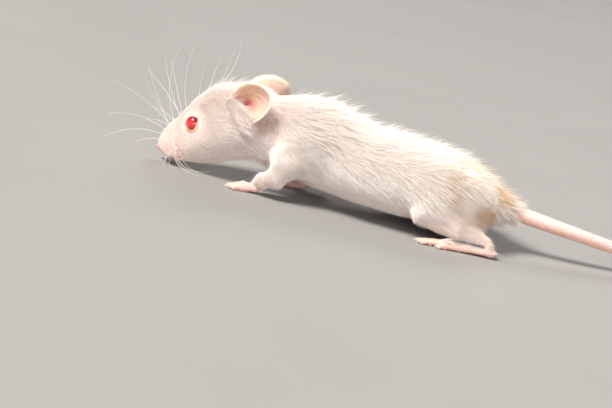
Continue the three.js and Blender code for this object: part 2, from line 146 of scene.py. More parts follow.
def slopeOf(field, p, step=0.02):
    # the field's gradient by central differences
    g = np.empty_like(p)
    for k in range(3):
        d = np.zeros(3)
        d[k] = step
        g[:, k] = (field(p + d) - field(p - d)) / (2 * step)
    return g


def ontoField(field, p, rounds=2, most=0.3):
    # Newton's step p - f grad f / |grad f|^2, limited to most
    for _ in range(rounds):
        g = slopeOf(field, p)
        move = -(field(p) / np.maximum((g * g).sum(1), 0.04))[:, None] * g
        far = np.linalg.norm(move, axis=1, keepdims=True)
        p = p + move * np.minimum(1, most / np.maximum(far, 1e-9))
    return p


def fieldMesh(field, low, high, step):
    # Surface nets: each cell that the surface crosses gets one point, the mean of its crossings,
    # and each grid edge that it crosses gets the four points round it as a face.
    axes = [np.arange(low[k], high[k] + step, step) for k in range(3)]
    grid = np.stack(np.meshgrid(*axes, indexing="ij"), -1)
    value = field(grid.reshape(-1, 3)).reshape(grid.shape[:3])
    inside = value < 0
    nx, ny, nz = value.shape
    total = np.zeros((nx - 1, ny - 1, nz - 1, 3))
    count = np.zeros((nx - 1, ny - 1, nz - 1))

    def corner(a, i, j, k):
        return a[i:nx - 1 + i, j:ny - 1 + j, k:nz - 1 + k]
    for axis in range(3):
        for first in (0, 1):
            for second in (0, 1):
                lower = [0, 0, 0]
                lower[(axis + 1) % 3], lower[(axis + 2) % 3] = first, second
                upper = list(lower)
                upper[axis] = 1
                a, b = corner(value, *lower), corner(value, *upper)
                crossed = (a < 0) != (b < 0)
                t = np.where(crossed, a / np.where(crossed, a - b, 1), 0)[..., None]
                point = corner(grid, *lower) * (1 - t) + corner(grid, *upper) * t
                total += np.where(crossed[..., None], point, 0)
                count += crossed
    live = count > 0
    number = np.cumsum(live.ravel()).reshape(live.shape) - 1
    points = total[live] / count[live][:, None]
    faces = []
    for axis in range(3):
        lead = np.moveaxis(inside, axis, 0)
        index = np.moveaxis(number, axis, 0)
        change = lead[:-1, 1:-1, 1:-1] != lead[1:, 1:-1, 1:-1]
        i, j, k = np.nonzero(change)
        quad = np.column_stack([index[i, j, k], index[i, j + 1, k],
                                index[i, j + 1, k + 1], index[i, j, k + 1]])
        # the first end inside means that the face looks along the axis
        flip = lead[i, j + 1, k + 1] == (axis == 1)
        quad[flip] = quad[flip][:, ::-1]
        faces.append(quad)
    quads = np.vstack(faces)
    p = points[quads]
    short = np.linalg.norm(p[:, 0] - p[:, 2], axis=1) < np.linalg.norm(p[:, 1] - p[:, 3], axis=1)
    one = np.where(short[:, None], quads[:, [0, 1, 2]], quads[:, [0, 1, 3]])
    two = np.where(short[:, None], quads[:, [0, 2, 3]], quads[:, [1, 2, 3]])
    return outward(points, np.vstack([one, two]))


def closedMesh(field, low, high, step):
    # a finer grid is tried until every edge has exactly two faces
    for _ in range(8):
        points, faces = fieldMesh(field, low, high, step)
        if (np.bincount(edgesOf(faces)[1].ravel()) == 2).all():
            break
        step *= 0.97
    return points, faces


def edgesOf(faces):
    # every edge once, and for each face the numbers of its three edges
    pairs = np.sort(faces[:, [[0, 1], [1, 2], [2, 0]]], axis=2).reshape(-1, 2)
    edges, which = np.unique(pairs, axis=0, return_inverse=True)
    return edges, which.reshape(-1, 3)


def refine(points, faces, field, edgeAt, rounds):
    # splits each edge that is longer than edgeAt(place) at its middle, and puts the new points
    # on the surface, until none is left or the rounds are over
    for _ in range(rounds):
        edges, of = edgesOf(faces)
        a, b = points[edges[:, 0]], points[edges[:, 1]]
        middle = (a + b) / 2
        cut = np.linalg.norm(a - b, axis=1) > 1.4 * edgeAt(middle)
        if not cut.any():
            break
        new = np.full(len(edges), -1)
        new[cut] = len(points) + np.arange(cut.sum())
        points = np.vstack([points, ontoField(field, middle[cut])])
        m = new[of]
        n = (m >= 0).sum(1)
        made = [faces[n == 0]]
        # one edge cut: turn the face so that it is the first
        for k in range(3):
            pick = (n == 1) & (m[:, k] >= 0)
            f, g = np.roll(faces[pick], -k, 1), np.roll(m[pick], -k, 1)
            made += [np.column_stack([f[:, 0], g[:, 0], f[:, 2]]),
                     np.column_stack([g[:, 0], f[:, 1], f[:, 2]])]
            # two edges cut: turn the face so that the whole one is the last
            pick = (n == 2) & (m[:, k] < 0)
            f, g = np.roll(faces[pick], -k - 1, 1), np.roll(m[pick], -k - 1, 1)
            made += [np.column_stack([g[:, 0], f[:, 1], g[:, 1]]),
                     np.column_stack([f[:, 0], g[:, 0], g[:, 1]]),
                     np.column_stack([f[:, 0], g[:, 1], f[:, 2]])]
        f, g = faces[n == 3], m[n == 3]
        made += [np.column_stack([f[:, 0], g[:, 0], g[:, 2]]),
                 np.column_stack([g[:, 0], f[:, 1], g[:, 1]]),
                 np.column_stack([g[:, 2], g[:, 1], f[:, 2]]), g]
        faces = np.vstack(made)
    return points, faces


def relax(points, faces, weight, rounds, field=None):
    # moves each point towards the mean of its neighbours by its weight, and then back onto the
    # surface where a field is given
    edges, _ = edgesOf(faces)
    both = np.vstack([edges, edges[:, ::-1]])
    number = np.bincount(both[:, 0], minlength=len(points))[:, None]
    for _ in range(rounds):
        mean = np.column_stack([np.bincount(both[:, 0], points[both[:, 1], k], len(points))
                                for k in range(3)]) / number
        points = points + weight[:, None] * (mean - points)
    return ontoField(field, points) if field else points


# ---- meshes

def makePiece(name, points, faces, smooth=True):
    # puts arrays of points (mm) and faces into a mesh at the origin
    faces = np.asarray(faces, np.int32)
    mesh = bpy.data.meshes.new(name)
    mesh.vertices.add(len(points))
    mesh.vertices.foreach_set("co", np.asarray(points * mm, np.float32).ravel())
    mesh.loops.add(faces.size)
    mesh.loops.foreach_set("vertex_index", faces.ravel())
    mesh.polygons.add(len(faces))
    starts = np.arange(0, faces.size, faces.shape[1], dtype=np.int32)
    mesh.polygons.foreach_set("loop_start", starts)
    mesh.polygons.foreach_set("use_smooth", np.full(len(faces), smooth))
    mesh.update(calc_edges=True)
    piece = bpy.data.objects.new(name, mesh)
    bpy.context.scene.collection.objects.link(piece)
    return piece


def arraysOf(mesh):
    # the points (mm) and triangles of a mesh
    mesh.calc_loop_triangles()
    points = np.empty(len(mesh.vertices) * 3, np.float32)
    mesh.vertices.foreach_get("co", points)
    faces = np.empty(len(mesh.loop_triangles) * 3, np.int32)
    mesh.loop_triangles.foreach_get("vertices", faces)
    return points.reshape(-1, 3).astype(float) / mm, faces.reshape(-1, 3)


def gridFaces(rows, columns, closedAround=True):
    # quads between the points of a grid, row by row, the columns running round
    i = np.arange(rows - 1)[:, None] * columns
    j = np.arange(columns if closedAround else columns - 1)[None, :]
    k = (j + 1) % columns
    return np.stack([i + j, i + k, i + columns + k, i + columns + j], -1).reshape(-1, 4)


def triangles(quads):
    return np.vstack([quads[:, [0, 1, 2]], quads[:, [0, 2, 3]]])


def outward(points, faces):
    # turns a closed shape's faces outwards if they look in
    p = points[faces]
    volume = (p[:, 0] * np.cross(p[:, 1], p[:, 2])).sum()
    return points, faces if volume > 0 else faces[:, ::-1]


def closedRings(grid, first, last):
    # a closed skin over rings of points, with one more point before the first and after the last
    rows, columns = grid.shape[:2]
    points = np.vstack([grid.reshape(-1, 3), first, last])
    i = np.arange(columns)
    j = (i + 1) % columns
    end = (rows - 1) * columns
    faces = np.vstack([triangles(gridFaces(rows, columns)),
                       np.column_stack([j, i, np.full(columns, len(points) - 2)]),
                       np.column_stack([end + i, end + j, np.full(columns, len(points) - 1)])])
    return outward(points, faces)


def normalsOf(points, faces):
    # mean of the faces' normals at each point, by area
    p = points[faces]
    n = np.cross(p[:, 1] - p[:, 0], p[:, 2] - p[:, 0])
    total = np.column_stack([sum(np.bincount(faces[:, c], n[:, k], len(points)) for c in range(3))
                             for k in range(3)])
    return unit(total)


def addMask(piece, name, values):
    layer = piece.data.attributes.new(name, "FLOAT", "POINT")
    layer.data.foreach_set("value", np.asarray(values, np.float32))


# ---- body and head

pose = {
    "headPitch": 38, "headYaw": 4, "noseHeight": 2.8, "neckPivot": 24,
    "foreRight": 9, "hindRight": -8,        # how far the right feet stand behind the left ones
}
# x, height of the back, of the belly, half width
trunkRings = [
    (18, 21.2, 8.4, 6.8), (26, 22.5, 5.3, 8.4), (34, 23.7, 3.6, 9.9), (42, 22.6, 2.8, 10.8),
    (50, 20.8, 2.1, 11.9), (59, 20.2, 1.9, 12.6), (67.5, 18.7, 2.4, 12.2), (75, 16.3, 3.4, 10.2),
    (79.5, 13.9, 4.7, 7.4), (82.3, 12.0, 6.3, 4.2), (83.6, 11.1, 7.3, 1.9),
]
# along the head from the nose, height of the crown, of the jaw, half width
headRings = [
    (-0.2, 0.7, -1.1, 0.9), (0.6, 1.9, -2.7, 1.9), (2, 3.0, -4.2, 2.9), (4.5, 4.1, -5.8, 4.0),
    (7.5, 4.8, -7.3, 5.0), (10.5, 5.9, -8.6, 5.9), (14.5, 7.2, -9.9, 7.1), (19, 7.8, -10.6, 7.8),
    (24, 6.1, -10.6, 7.7), (28, 3.6, -9.3, 7.4),
]
# where along their lengths trunk and head are cut off and how softly, the share of their height
# at which they are widest, and their least half width
trunkEnds = {"front": (19.5, 3), "back": (83.6, 1.2), "widest": 0.45, "least": 0.8}
headEnds = {"front": (-0.15, 0.8), "back": (27, 3), "widest": 0.46, "least": 0.5}
# how far the skin lies under the outside of the coat
coatDepth = {"trunk": 0.9, "thigh": 0.8, "head": 0.6, "muzzle": 0.2, "leg": 0.4, "rumpLess": 0.5}
eye = {
    "s": 12.1, "side": 4.2, "height": 1.45, "radius": 2.0, "looks": (-0.12, 0.92, 0.37),
    "cornea": 0.16, "corneaFrom": 0.4, "corneaTo": 1.75, "rear": (0.75, 0, 0.66),
}
lid = {
    "long": 1.98, "high": 1.24, "out": 0.08, "thick": 0.24, "cover": 0.2, "flare": 0.3,
    "pinch": 0.07, "gap": 0.7, "behind": 0.28, "flaresTo": 0.8,
}
nose = {"s": 0.45, "height": 0.2, "long": 1.05, "wide": 1.2, "high": 0.92}
nostril = {
    "from": (-0.45, 0.6, -0.05), "to": (0.3, 1.12, 0.32), "deep": 0.42, "wide": 0.17,
    "edge": 0.07, "edgeAt": 0.34, "edgeWide": 0.14,
}
mouth = {"start": 0.6, "height": -3.1, "slope": -0.2, "end": 5.4, "deep": 0.42, "wide": 0.17}
# each lip's height off the line of the mouth, its thickness and how high it reaches
lips = {"upper": (0.75, 0.2, 0.55), "lower": (-0.5, 0.16, 0.35)}
cleft = {"deep": 0.3, "wide": 0.15, "behind": 3}
whiskerPad = {"s": 4.6, "side": 2.1, "height": -1.6, "long": 3.3, "wide": 1.95, "high": 2.2}
foreJoints = [(35.6, 6.6, 12.4, 4.4), (32.6, 8.2, 8.9, 3.5), (31.0, 8.8, 5.6, 2.5),
              (28.0, 8.3, 3.6, 1.95), (26.0, 7.7, 2.35, 1.4)]
hindJoints = [(65.4, 10.8, 6.6, 2.5), (73.0, 11.7, 4.8, 2.1), (80.8, 11.4, 3.3, 1.5)]
haunch = {"x": 71.2, "side": 8.2, "z": 9.4, "half": (9.6, 4.9, 6.9), "tilt": 14, "follows": 0.3}
# over what distance each shape runs into the ones before it
blend = {
    "head": 5, "thigh": 5, "hind": 3, "fore": 3.6, "ear": 1.6, "earRoom": 0.5,
    "pads": 0.9, "nose": 0.45, "lids": 0.6, "lidCover": 0.2, "opening": 0.16,
}


def headTurn():
    # the head's turn to the side and its lean, as matrices
    pitch, yaw = math.radians(pose["headPitch"]), math.radians(pose["headYaw"])
    lean = np.array([[math.cos(pitch), 0, -math.sin(pitch)], [0, 1, 0],
                     [math.sin(pitch), 0, math.cos(pitch)]])
    turn = np.array([[math.cos(yaw), math.sin(yaw), 0], [-math.sin(yaw), math.cos(yaw), 0],
                     [0, 0, 1]])
    return turn, lean


def fromHead(q):
    # along the head, across it, above it -> the frame
    turn, lean = headTurn()
    pivot = np.array([pose["neckPivot"], 0, 0])
    p = np.atleast_2d(q) @ lean.T + np.array([0, 0, pose["noseHeight"]])
    return (p - pivot) @ turn.T + pivot - np.array([noseShift, 0, 0])


def toHead(p):
    turn, lean = headTurn()
    pivot = np.array([pose["neckPivot"], 0, 0])
    q = (p + np.array([noseShift, 0, 0]) - pivot) @ turn + pivot
    return (q - np.array([0, 0, pose["noseHeight"]])) @ lean


def toFace(p):
    # the same, with both sides of the head counted as one
    q = toHead(p)
    q[:, 1] = np.abs(q[:, 1])
    return q


def cutOff(f, along, ends):
    # the field closed by a soft cap at each of its ends
    (front, frontSoft), (back, backSoft) = ends["front"], ends["back"]
    return smoothMax(smoothMax(f, front - along, frontSoft), along - back, backSoft)


def trunkField(p):
    # an upright oval section at each x
    x = p[:, 0] + noseShift
    d = coatDepth["trunk"] - coatDepth["rumpLess"] * smoothStep(78, 83, x)
    back, belly, half = (smoothColumn(trunkRings, c, x) for c in (1, 2, 3))
    f = ovalSection(p[:, 1], p[:, 2], back - d, belly + d,
                    np.maximum(half - d, trunkEnds["least"]), trunkEnds["widest"])
    return cutOff(f, x, trunkEnds)


eyePlace = np.array([eye["s"], eye["side"], eye["height"]])


def eyeAxes():
    # along the lids, up between them and out along the look of the left eye, mirrored to side 1
    out = unit(np.array(eye["looks"]))
    along = unit(np.array([1, 0, 0]) - out[0] * out)
    return np.vstack([along, -np.cross(out, along), out])


def lidField(q):
    # Distance to the lids, a thin cover over the eyeball with an almond ring at its edge, and to
    # the opening that the ring frames, which flares outwards.
    a, b, c = ((q - eyePlace) @ eyeAxes().T).T
    angle = np.arctan2(b / lid["high"], a / lid["long"])
    pinch = 1 - lid["pinch"] * np.abs(np.sin(2 * angle))
    long, high = lid["long"] * np.cos(angle), lid["high"] * pinch * np.sin(angle)
    far = np.sqrt(np.maximum(eye["radius"] ** 2 - long**2 - high**2, 0))
    ring = np.column_stack([long, high, far + lid["out"]])
    fold = np.linalg.norm(np.column_stack([a, b, c]) - ring, axis=1) - lid["thick"]
    wide = (np.hypot(a, b) - np.hypot(long, high)) + lid["gap"] * lid["thick"]
    wide = wide - lid["flare"] * np.clip(c - far - lid["out"] - lid["thick"], 0, lid["flaresTo"])
    depth = np.sqrt(a * a + b * b + c * c)
    fold = smoothMin(fold, depth - eye["radius"] - lid["cover"], blend["lidCover"])
    opening = np.maximum(np.maximum(wide, eye["radius"] - lid["behind"] - depth), -c)
    return fold, opening


def headForm(p):
    # an upright oval section at each place along the head, with nose and whisker pads
    q = toFace(p)
    s, a, h = q.T
    d = coatDepth["muzzle"] + (coatDepth["head"] - coatDepth["muzzle"]) * smoothStep(5, 20, s)
    crown, jaw, cheek = (smoothColumn(headRings, c, s) for c in (1, 2, 3))
    f = ovalSection(a, h, crown - d, jaw + d, np.maximum(cheek - d, headEnds["least"]),
                    headEnds["widest"])
    f = cutOff(f, s, headEnds)
    pad = ball(q, (whiskerPad["s"], whiskerPad["side"], whiskerPad["height"]),
               (whiskerPad["long"], whiskerPad["wide"], whiskerPad["high"]))
    tip = ball(q, (nose["s"], 0, nose["height"]), (nose["long"], nose["wide"], nose["high"]))
    return smoothMin(smoothMin(f, pad, blend["pads"]), tip, blend["nose"])


def aboveMouth(s, h):
    # how far a place lies above the line of the mouth
    return h - mouth["height"] - mouth["slope"] * (s - mouth["start"])


def faceDetail(p, f):
    # the field with the line of the mouth, the cleft above it, nostrils and lids
    q = toFace(p)
    s, a, h = q.T
    # line of the mouth between the two lips
    line = aboveMouth(s, h)
    within = smoothStep(mouth["end"] + 0.6, mouth["end"] - 0.9, s)
    groove = mouth["deep"] * bell(line, mouth["wide"])
    for height, thick, wide in lips.values():
        groove = groove - thick * bell(line - height, wide)
    f = f + within * groove
    # cleft from the nose to the mouth
    f = f + (cleft["deep"] * bell(a, cleft["wide"]) * smoothStep(0.35, -0.1, h)
             * smoothStep(-3.6, -2.9, h) * (s < cleft["behind"]))
    # nostrils: a comma from the front up and back, with a raised edge
    comma = cone(q, nostril["from"], nostril["to"], 0, 0)
    f = f + nostril["deep"] * bell(comma, nostril["wide"])
    f = f - nostril["edge"] * bell(comma - nostril["edgeAt"], nostril["edgeWide"])
    fold, opening = lidField(q)
    return smoothMax(smoothMin(f, fold, blend["lids"]), -opening, blend["opening"])


def legTable():
    # each leg's joints in the frame, with the radius there; the right ones stand further back
    made = {}
    for side, word in ((left, "left"), (right, "right")):
        for kind, joints, follows in (("fore", foreJoints, (0, 0.4, 1, 1, 1)),
                                      ("hind", hindJoints, (1, 1, 1))):
            shift = pose[kind + "Right"] if side > 0 else 0
            made[f"{kind}_{word}"] = {"side": side, "shift": shift, "joints": [
                (x + shift * k - noseShift, side * y, z, r)
                for (x, y, z, r), k in zip(joints, follows)]}
    return made


legs = legTable()


def legField(leg, p):
    return chain(p, leg["joints"], 1, -coatDepth["leg"])


def bodyForm(p):
    # head, trunk and legs, blended where they meet, with room for the cups of the ears
    f = smoothMin(trunkField(p), headForm(p), blend["head"])
    for name, leg in legs.items():
        side = leg["side"]
        if name.startswith("hind"):
            x = haunch["x"] + leg["shift"] * haunch["follows"] - noseShift
            thigh = ball(p, (x, side * haunch["side"], haunch["z"]),
                         np.array(haunch["half"]) - coatDepth["thigh"], haunch["tilt"])
            f = smoothMin(f, thigh, blend["thigh"])
        f = smoothMin(f, legField(leg, p), blend[name[:4]])
    for side in (left, right):
        mound, room = earRootField(p, side)
        f = smoothMax(smoothMin(f, mound, blend["ear"]), -room, blend["earRoom"])
    return f


def bodyField(p):
    return faceDetail(p, bodyForm(p))


# ---- ears

ear = {
    "s": 24.6, "side": 8.5, "height": -1.45, "rightAhead": 0.7, "rightAbove": 0.35,
    "tall": 10.8, "wide": 11.4, "behind": 0.68, "lean": 0.15, "cup": 2.9, "thick": 0.4,
    "middle": 3.5, "front": 2.2, "low": 1.6, "round": 2.2, "tuck": 2.4, "ridges": 0.05,
    "leftInward": (0.12, -0.92, -0.36), "rightInward": (0.35, -0.85, -0.38),
    "upward": (0.8, 0.4, 0.42), "rows": 46, "columns": 100,
}
# the ear's opening: its middle in the cup, its half length and width, its way, its depth
earSlit = {"ahead": 3.2, "up": 1.2, "long": 1.7, "wide": 0.75, "way": (0.76, -0.65), "deep": 0.9}
# behind and below the cup: the mound that carries it, and the ridge of the cheek on its lower rim
earRoot = {
    "mound": (2.2, 2.0), "moundDeeper": 0.9, "moundHalf": (2.6, 2.5, 1.5),
    "ridgeFrom": (4.4, -0.6, 0.9, 1.1), "ridgeTo": (-2.0, -0.9, 1.1, 1.2),
    "cheek": 0.5, "bulge": (0.9, 2.5, 1.6), "slope": 0.4, "roomOut": 1.6, "roomShare": 0.97,
}


def earAxes(side):
    # the ear's root on the head, and its ways across, up and inwards
    inward = unit(np.array(ear["rightInward"] if side > 0 else ear["leftInward"]) * (1, side, 1))
    up = np.array(ear["upward"]) * (1, side, 1)
    up = unit(up - (up @ inward) * inward)
    root = np.array([ear["s"], side * ear["side"], ear["height"]])
    root += np.array([-ear["rightAhead"], 0, ear["rightAbove"]]) * (side > 0)
    return root, np.vstack([np.cross(up, inward), up, inward])


def fromEar(points, side):
    root, basis = earAxes(side)
    return fromHead(root + points @ basis)


def toEar(p, side):
    root, basis = earAxes(side)
    return (toHead(p) - root) @ basis.T


def bendEar(ahead, y):
    # narrows the half of the ear that lies behind, to ear["behind"], and leans its top back:
    # m ahead + n sqrt(ahead^2 + 1) - lean (y - middle), where m + n = 1 and m - n = behind
    m, n = 0.5 + 0.5 * ear["behind"], 0.5 - 0.5 * ear["behind"]
    return m * ahead + n * np.sqrt(ahead**2 + 1) - ear["lean"] * (y - ear["middle"])


def unbendEar(ahead, y):
    # the place before bendEar
    m, n = 0.5 + 0.5 * ear["behind"], 0.5 - 0.5 * ear["behind"]
    ahead = ahead + ear["lean"] * (y - ear["middle"])
    return (m * ahead - n * np.sqrt(ahead**2 + ear["behind"])) / ear["behind"]


def earShare(e, side):
    # how far a place lies from the floor of the cup (0) to its rim (1): the share t for which
    # the place is on the oval of size t whose middle is (1 - t) of the way to the floor's
    half = np.array([ear["wide"] / 2, ear["tall"] / 2])
    lead = np.array([-ear["front"], ear["low"]]) / half
    flat = np.column_stack([unbendEar(-side * e[:, 0], e[:, 1]), e[:, 1] - ear["middle"]])
    place = flat / half + lead
    q2, q1, q0 = lead @ lead - 1, -2 * place @ lead, (place**2).sum(1)
    return (-q1 - np.sqrt(np.maximum(q1 * q1 - 4 * q2 * q0, 0))) / (2 * q2)


def slitAt(ahead, y):
    # distance to the middle of the ear's opening, 1 at its edge
    c, d = earSlit["way"]
    ahead, y = ahead - earSlit["ahead"], y - earSlit["up"]
    return np.hypot((d * ahead + c * y) / earSlit["long"], (c * ahead - d * y) / earSlit["wide"])


def cupDepth(e, side):
    # how far inwards the middle of the shell lies at each place, and the share of the rim there
    share = earShare(e, side)
    deep = ear["cup"] * (1 - np.clip(share, 0, 1) ** ear["round"])
    deep = deep + earSlit["deep"] * bell(slitAt(-side * e[:, 0], e[:, 1]), 1)
    above = e[:, 1] - ear["middle"]
    return deep + tuckOf(share, above / np.maximum(np.hypot(e[:, 0], above), 0.1)), share


def tuckOf(share, sine):
    # how far the lower rim is tucked in behind the cheek
    return ear["tuck"] * smoothStep(0.5, 1, share) * smoothStep(-0.4, -0.85, sine)


def earRootField(p, side):
    # the mound behind the cup with the ridge of the cheek that covers its lower rim, and the
    # room in front of the cup, which stays closed below that ridge
    e = toEar(p, side)
    ahead = -side * e[:, 0]
    middle, up = earRoot["mound"]
    mound = ball(e, (-side * middle, up, ear["cup"] + earRoot["moundDeeper"]),
                 earRoot["moundHalf"])
    first, last = (np.array(earRoot[key]) * (-side, 1, 1, 1) for key in ("ridgeFrom", "ridgeTo"))
    ridge = cone(e, first[:3], last[:3], first[3], last[3])
    deep, share = cupDepth(e, side)
    room = np.maximum(e[:, 2] - deep + 0.05, 5 * (share - earRoot["roomShare"]))
    room = np.maximum(room, -earRoot["roomOut"] - e[:, 2])
    high, at, wide = earRoot["bulge"]
    edge = earRoot["cheek"] + high * bell(ahead - at, wide)
    edge = edge - earRoot["slope"] * np.clip(e[:, 2], 0, 4)
    return smoothMin(mound, ridge, 1), smoothMax(room, edge - e[:, 1], 0.8)


def earShell(side):
    # Front and back of the cup: ovals centre + share (half width cos a, half height sin a), whose
    # middles move by front and low from the rim's to the floor's, bent by bendEar, and inwards
    # by cup (1 - share^round), each half the thickness off this middle along the normal.
    rows, columns = ear["rows"], ear["columns"]
    share = np.linspace(0.04, 1, rows)[:, None] ** 0.8
    angle = np.linspace(0, 2 * np.pi, columns, endpoint=False)[None, :]
    uneven = 1 + 0.012 * np.sin(3 * angle + 1) + 0.006 * np.sin(8 * angle)
    y = ear["middle"] - ear["low"] * (1 - share)
    y = y + ear["tall"] / 2 * share * uneven * np.sin(angle)
    ahead = ear["front"] * (1 - share) + ear["wide"] / 2 * share * uneven * np.cos(angle)
    ahead = bendEar(ahead, y)
    # soft ridges round the cup, the deep slit of its opening, an edge that turns out a little at
    # the top, and the lower rim tucked into the cheek
    between = smoothStep(0.3, 0.5, share) * smoothStep(0.97, 0.85, share)
    ridges = ear["ridges"] * between * np.sin(26 * share + 1.5 * np.sin(2 * angle) + angle)
    z = ear["cup"] * (1 - share ** ear["round"]) + ridges
    z = z + earSlit["deep"] * bell(slitAt(ahead, y), 1)
    z = z - 0.2 * smoothStep(0.86, 1, share) * smoothStep(-0.2, 0.5, np.sin(angle))
    z = z + tuckOf(share, np.sin(angle))
    middle = np.stack([-side * ahead, y, z], -1)
    along = np.gradient(middle, axis=0)
    around = np.roll(middle, -1, 1) - np.roll(middle, 1, 1)
    normal = unit(np.cross(around, along))
    normal *= np.sign(normal[..., 2].sum())        # towards the head
    thick = ear["thick"] / 2 * (1 + 1.2 * (1 - share)[..., None])
    back, front = middle + thick * normal, middle - thick * normal
    steps = np.linspace(0, np.pi, 7)[1:-1]
    tangent = unit(along[-1])
    rim = [middle[-1] + thick[-1] * (np.cos(t) * normal[-1] + np.sin(t) * tangent) for t in steps]
    grid = np.concatenate([back, np.array(rim), front[::-1]])
    points, faces = closedRings(grid, grid[0].mean(0), grid[-1].mean(0))
    return fromEar(points, side), faces


# ---- feet

foreFoot = {
    "heel": 0.4, "length": 3.7, "wide": 3.1, "high": 2.2, "yaw": 4,
    "splay": 16, "thick": 0.54,
    "toes": [(-0.85, 0.86, 2.0), (-0.3, 1.0, 2.5), (0.28, 1.0, 2.5), (0.85, 0.84, 2.0)],
}
hindFoot = {
    "heel": 1.6, "length": 12.6, "wide": 3.0, "high": 2.2, "yaw": 6,
    "splay": 15, "thick": 0.5,
    "toes": [(-1.0, 0.8, 2.9), (-0.5, 0.97, 4.2), (0, 1.0, 4.5), (0.5, 0.97, 4.2),
             (1.0, 0.76, 2.9)],
}
toeSpread = 0.36
# along the sole as a share of its length: its height in heights and its radius in widths
sole = [(0.02, 0.55, 0.34), (0.5, 0.46, 0.36), (0.86, 0.38, 0.44), (0.99, 0.34, 0.4)]
# along a toe as a share of it: the height of its bones and their radius, in thicknesses
toeBones = [(-0.35, 1.5, 1.05), (0.3, 1.85, 0.95), (0.68, 1.35, 0.86), (0.9, 0.95, 0.84)]
toePads = [(0.85, 0.95), (0.42, 0.8)]       # the same with radius only
# share of the sole's length, place across it and radius, in half widths
solePads = [(0.86, -0.5, 0.34), (0.92, 0, 0.36), (0.86, 0.5, 0.34), (0.6, 0.36, 0.3),
            (0.5, -0.36, 0.3)]


def footPlaces(name):
    # places on a foot: a function (share of its length, across, height) and each toe's heading
    leg = legs[name]
    size, side = (foreFoot if name.startswith("fore") else hindFoot), leg["side"]
    yaw = math.radians(size["yaw"])
    x, y, _, _ = leg["joints"][-1]
    heel = np.array([x + size["heel"], y, 0])
    forward = np.array([-math.cos(yaw), side * math.sin(yaw), 0])
    across = np.array([math.sin(yaw), side * math.cos(yaw), 0])

    def at(share, out, z):
        return heel + share * size["length"] * forward + out * across + np.array([0, 0, z])
    toes = []
    for out, start, long in size["toes"]:
        turn = math.radians(size["splay"] * out) + yaw
        heading = np.array([-math.cos(turn), side * math.sin(turn), 0])
        toes.append((at(start, out * size["wide"] * toeSpread, 0), heading, long))
    return at, toes, size


def footField(name):
    # a low sole with pads under it, and toes of cones that bend down at the tip
    at, toes, size = footPlaces(name)
    w, t = size["wide"] / 2, size["thick"]
    stops = [(*at(share, 0, high * size["high"]), r * size["wide"]) for share, high, r in sole]

    def field(p):
        f = chain(p, stops, 0.5, squash=0.72)
        for root, heading, long in toes:
            bones = [(*(root + heading * share * long + np.array([0, 0, high * t])), r * t)
                     for share, high, r in toeBones]
            f = smoothMin(f, chain(p, bones, 0.2), 0.32)
            for share, r in toePads:
                pad = root + heading * share * long + np.array([0, 0, r * t * 0.9])
                f = smoothMin(f, np.linalg.norm(p - pad, axis=1) - r * t, 0.2)
        for share, out, r in solePads:
            pad = at(share, out * w, 0.5)
            f = smoothMin(f, np.linalg.norm(p - pad, axis=1) - r * w, 0.3)
        x, y, z, r = legs[name]["joints"][-1]
        ankle = (x, y, z, r - coatDepth["leg"] - 0.05)
        f = smoothMin(f, chain(p, [ankle, (*at(0.04, 0, 0.5 * size["high"]), 0.8)], 0.3), 0.5)
        return smoothMax(f, -p[:, 2], 0.12)
    return field


# ---- tail

tail = {
    # x, y, z, radius
    "stops": [(80.5, -0.2, 9.6, 2.1), (82.4, 0, 9.3, 1.86), (96, 1.6, 7.6, 1.58),
              (109, 5, 5.6, 1.34), (122, 8.6, 3.1, 1.14), (134.5, 10.8, 1.1, 0.93),
              (146, 10.4, 0.62, 0.62), (156.6, 7.4, 0.36, 0.32)],
    "rows": 560, "columns": 26, "ring": 0.5, "raise": 0.03,
}


def tubeAlong(path, radius, columns, raised=None):
    # Rings of radius r round a path: p(t) + r(t) (cos a side + sin a up), closed by a point at
    # each end. What raised(a) gives for each ring is added to r.
    heading = unit(np.gradient(path, axis=0))
    side = unit(np.cross([0, 0, 1.0], heading))
    up = np.cross(heading, side)
    a = np.linspace(0, 2 * np.pi, columns, endpoint=False)
    r = radius[:, None] + (raised(a) if raised else 0)
    ring = path[:, None] + r[..., None] * (np.cos(a)[None, :, None] * side[:, None]
                                           + np.sin(a)[None, :, None] * up[:, None])
    return closedRings(ring, path[0] - heading[0] * radius[0] * 0.5,
                       path[-1] + heading[-1] * radius[-1] * 0.8)


def tailShape():
    path = pathThrough(tail["stops"], tail["rows"])
    radius = path[:, 3]
    line = path[:, :3] - np.array([noseShift, 0, 0])
    line[:, 2] = np.maximum(line[:, 2], radius)
    run = np.r_[0, np.cumsum(np.linalg.norm(np.diff(line, axis=0), axis=1))]

    def rings(a):
        # each ring of scales is a step that rises and drops, broken up round the tail
        pitch = tail["ring"] * (0.5 + 0.5 * radius / radius[0])
        turns = np.cumsum(np.r_[0, np.diff(run)] / pitch)
        wave = (turns[:, None] + 0.06 * np.sin(7 * a)[None, :]) % 1
        return tail["raise"] * (smoothStep(0, 0.25, wave) - smoothStep(0.7, 1, wave)) * \
            smoothStep(2, 6, run)[:, None]
    return tubeAlong(line, radius, tail["columns"], rings)


# ---- the one skin

# lengths of the skin's edges, and how far along the head or from the eye each one reaches
fine = {
    "trunk": 0.85, "head": 0.42, "face": 0.24, "muzzle": 0.14, "lids": 0.14, "step": 0.6,
    "footStep": 0.18, "headTo": 27, "faceTo": 9, "muzzleTo": 5.5, "muzzleAbove": -5, "round": 3,
    "box": ((-79, -16, -1), (7, 16, 26)),
}


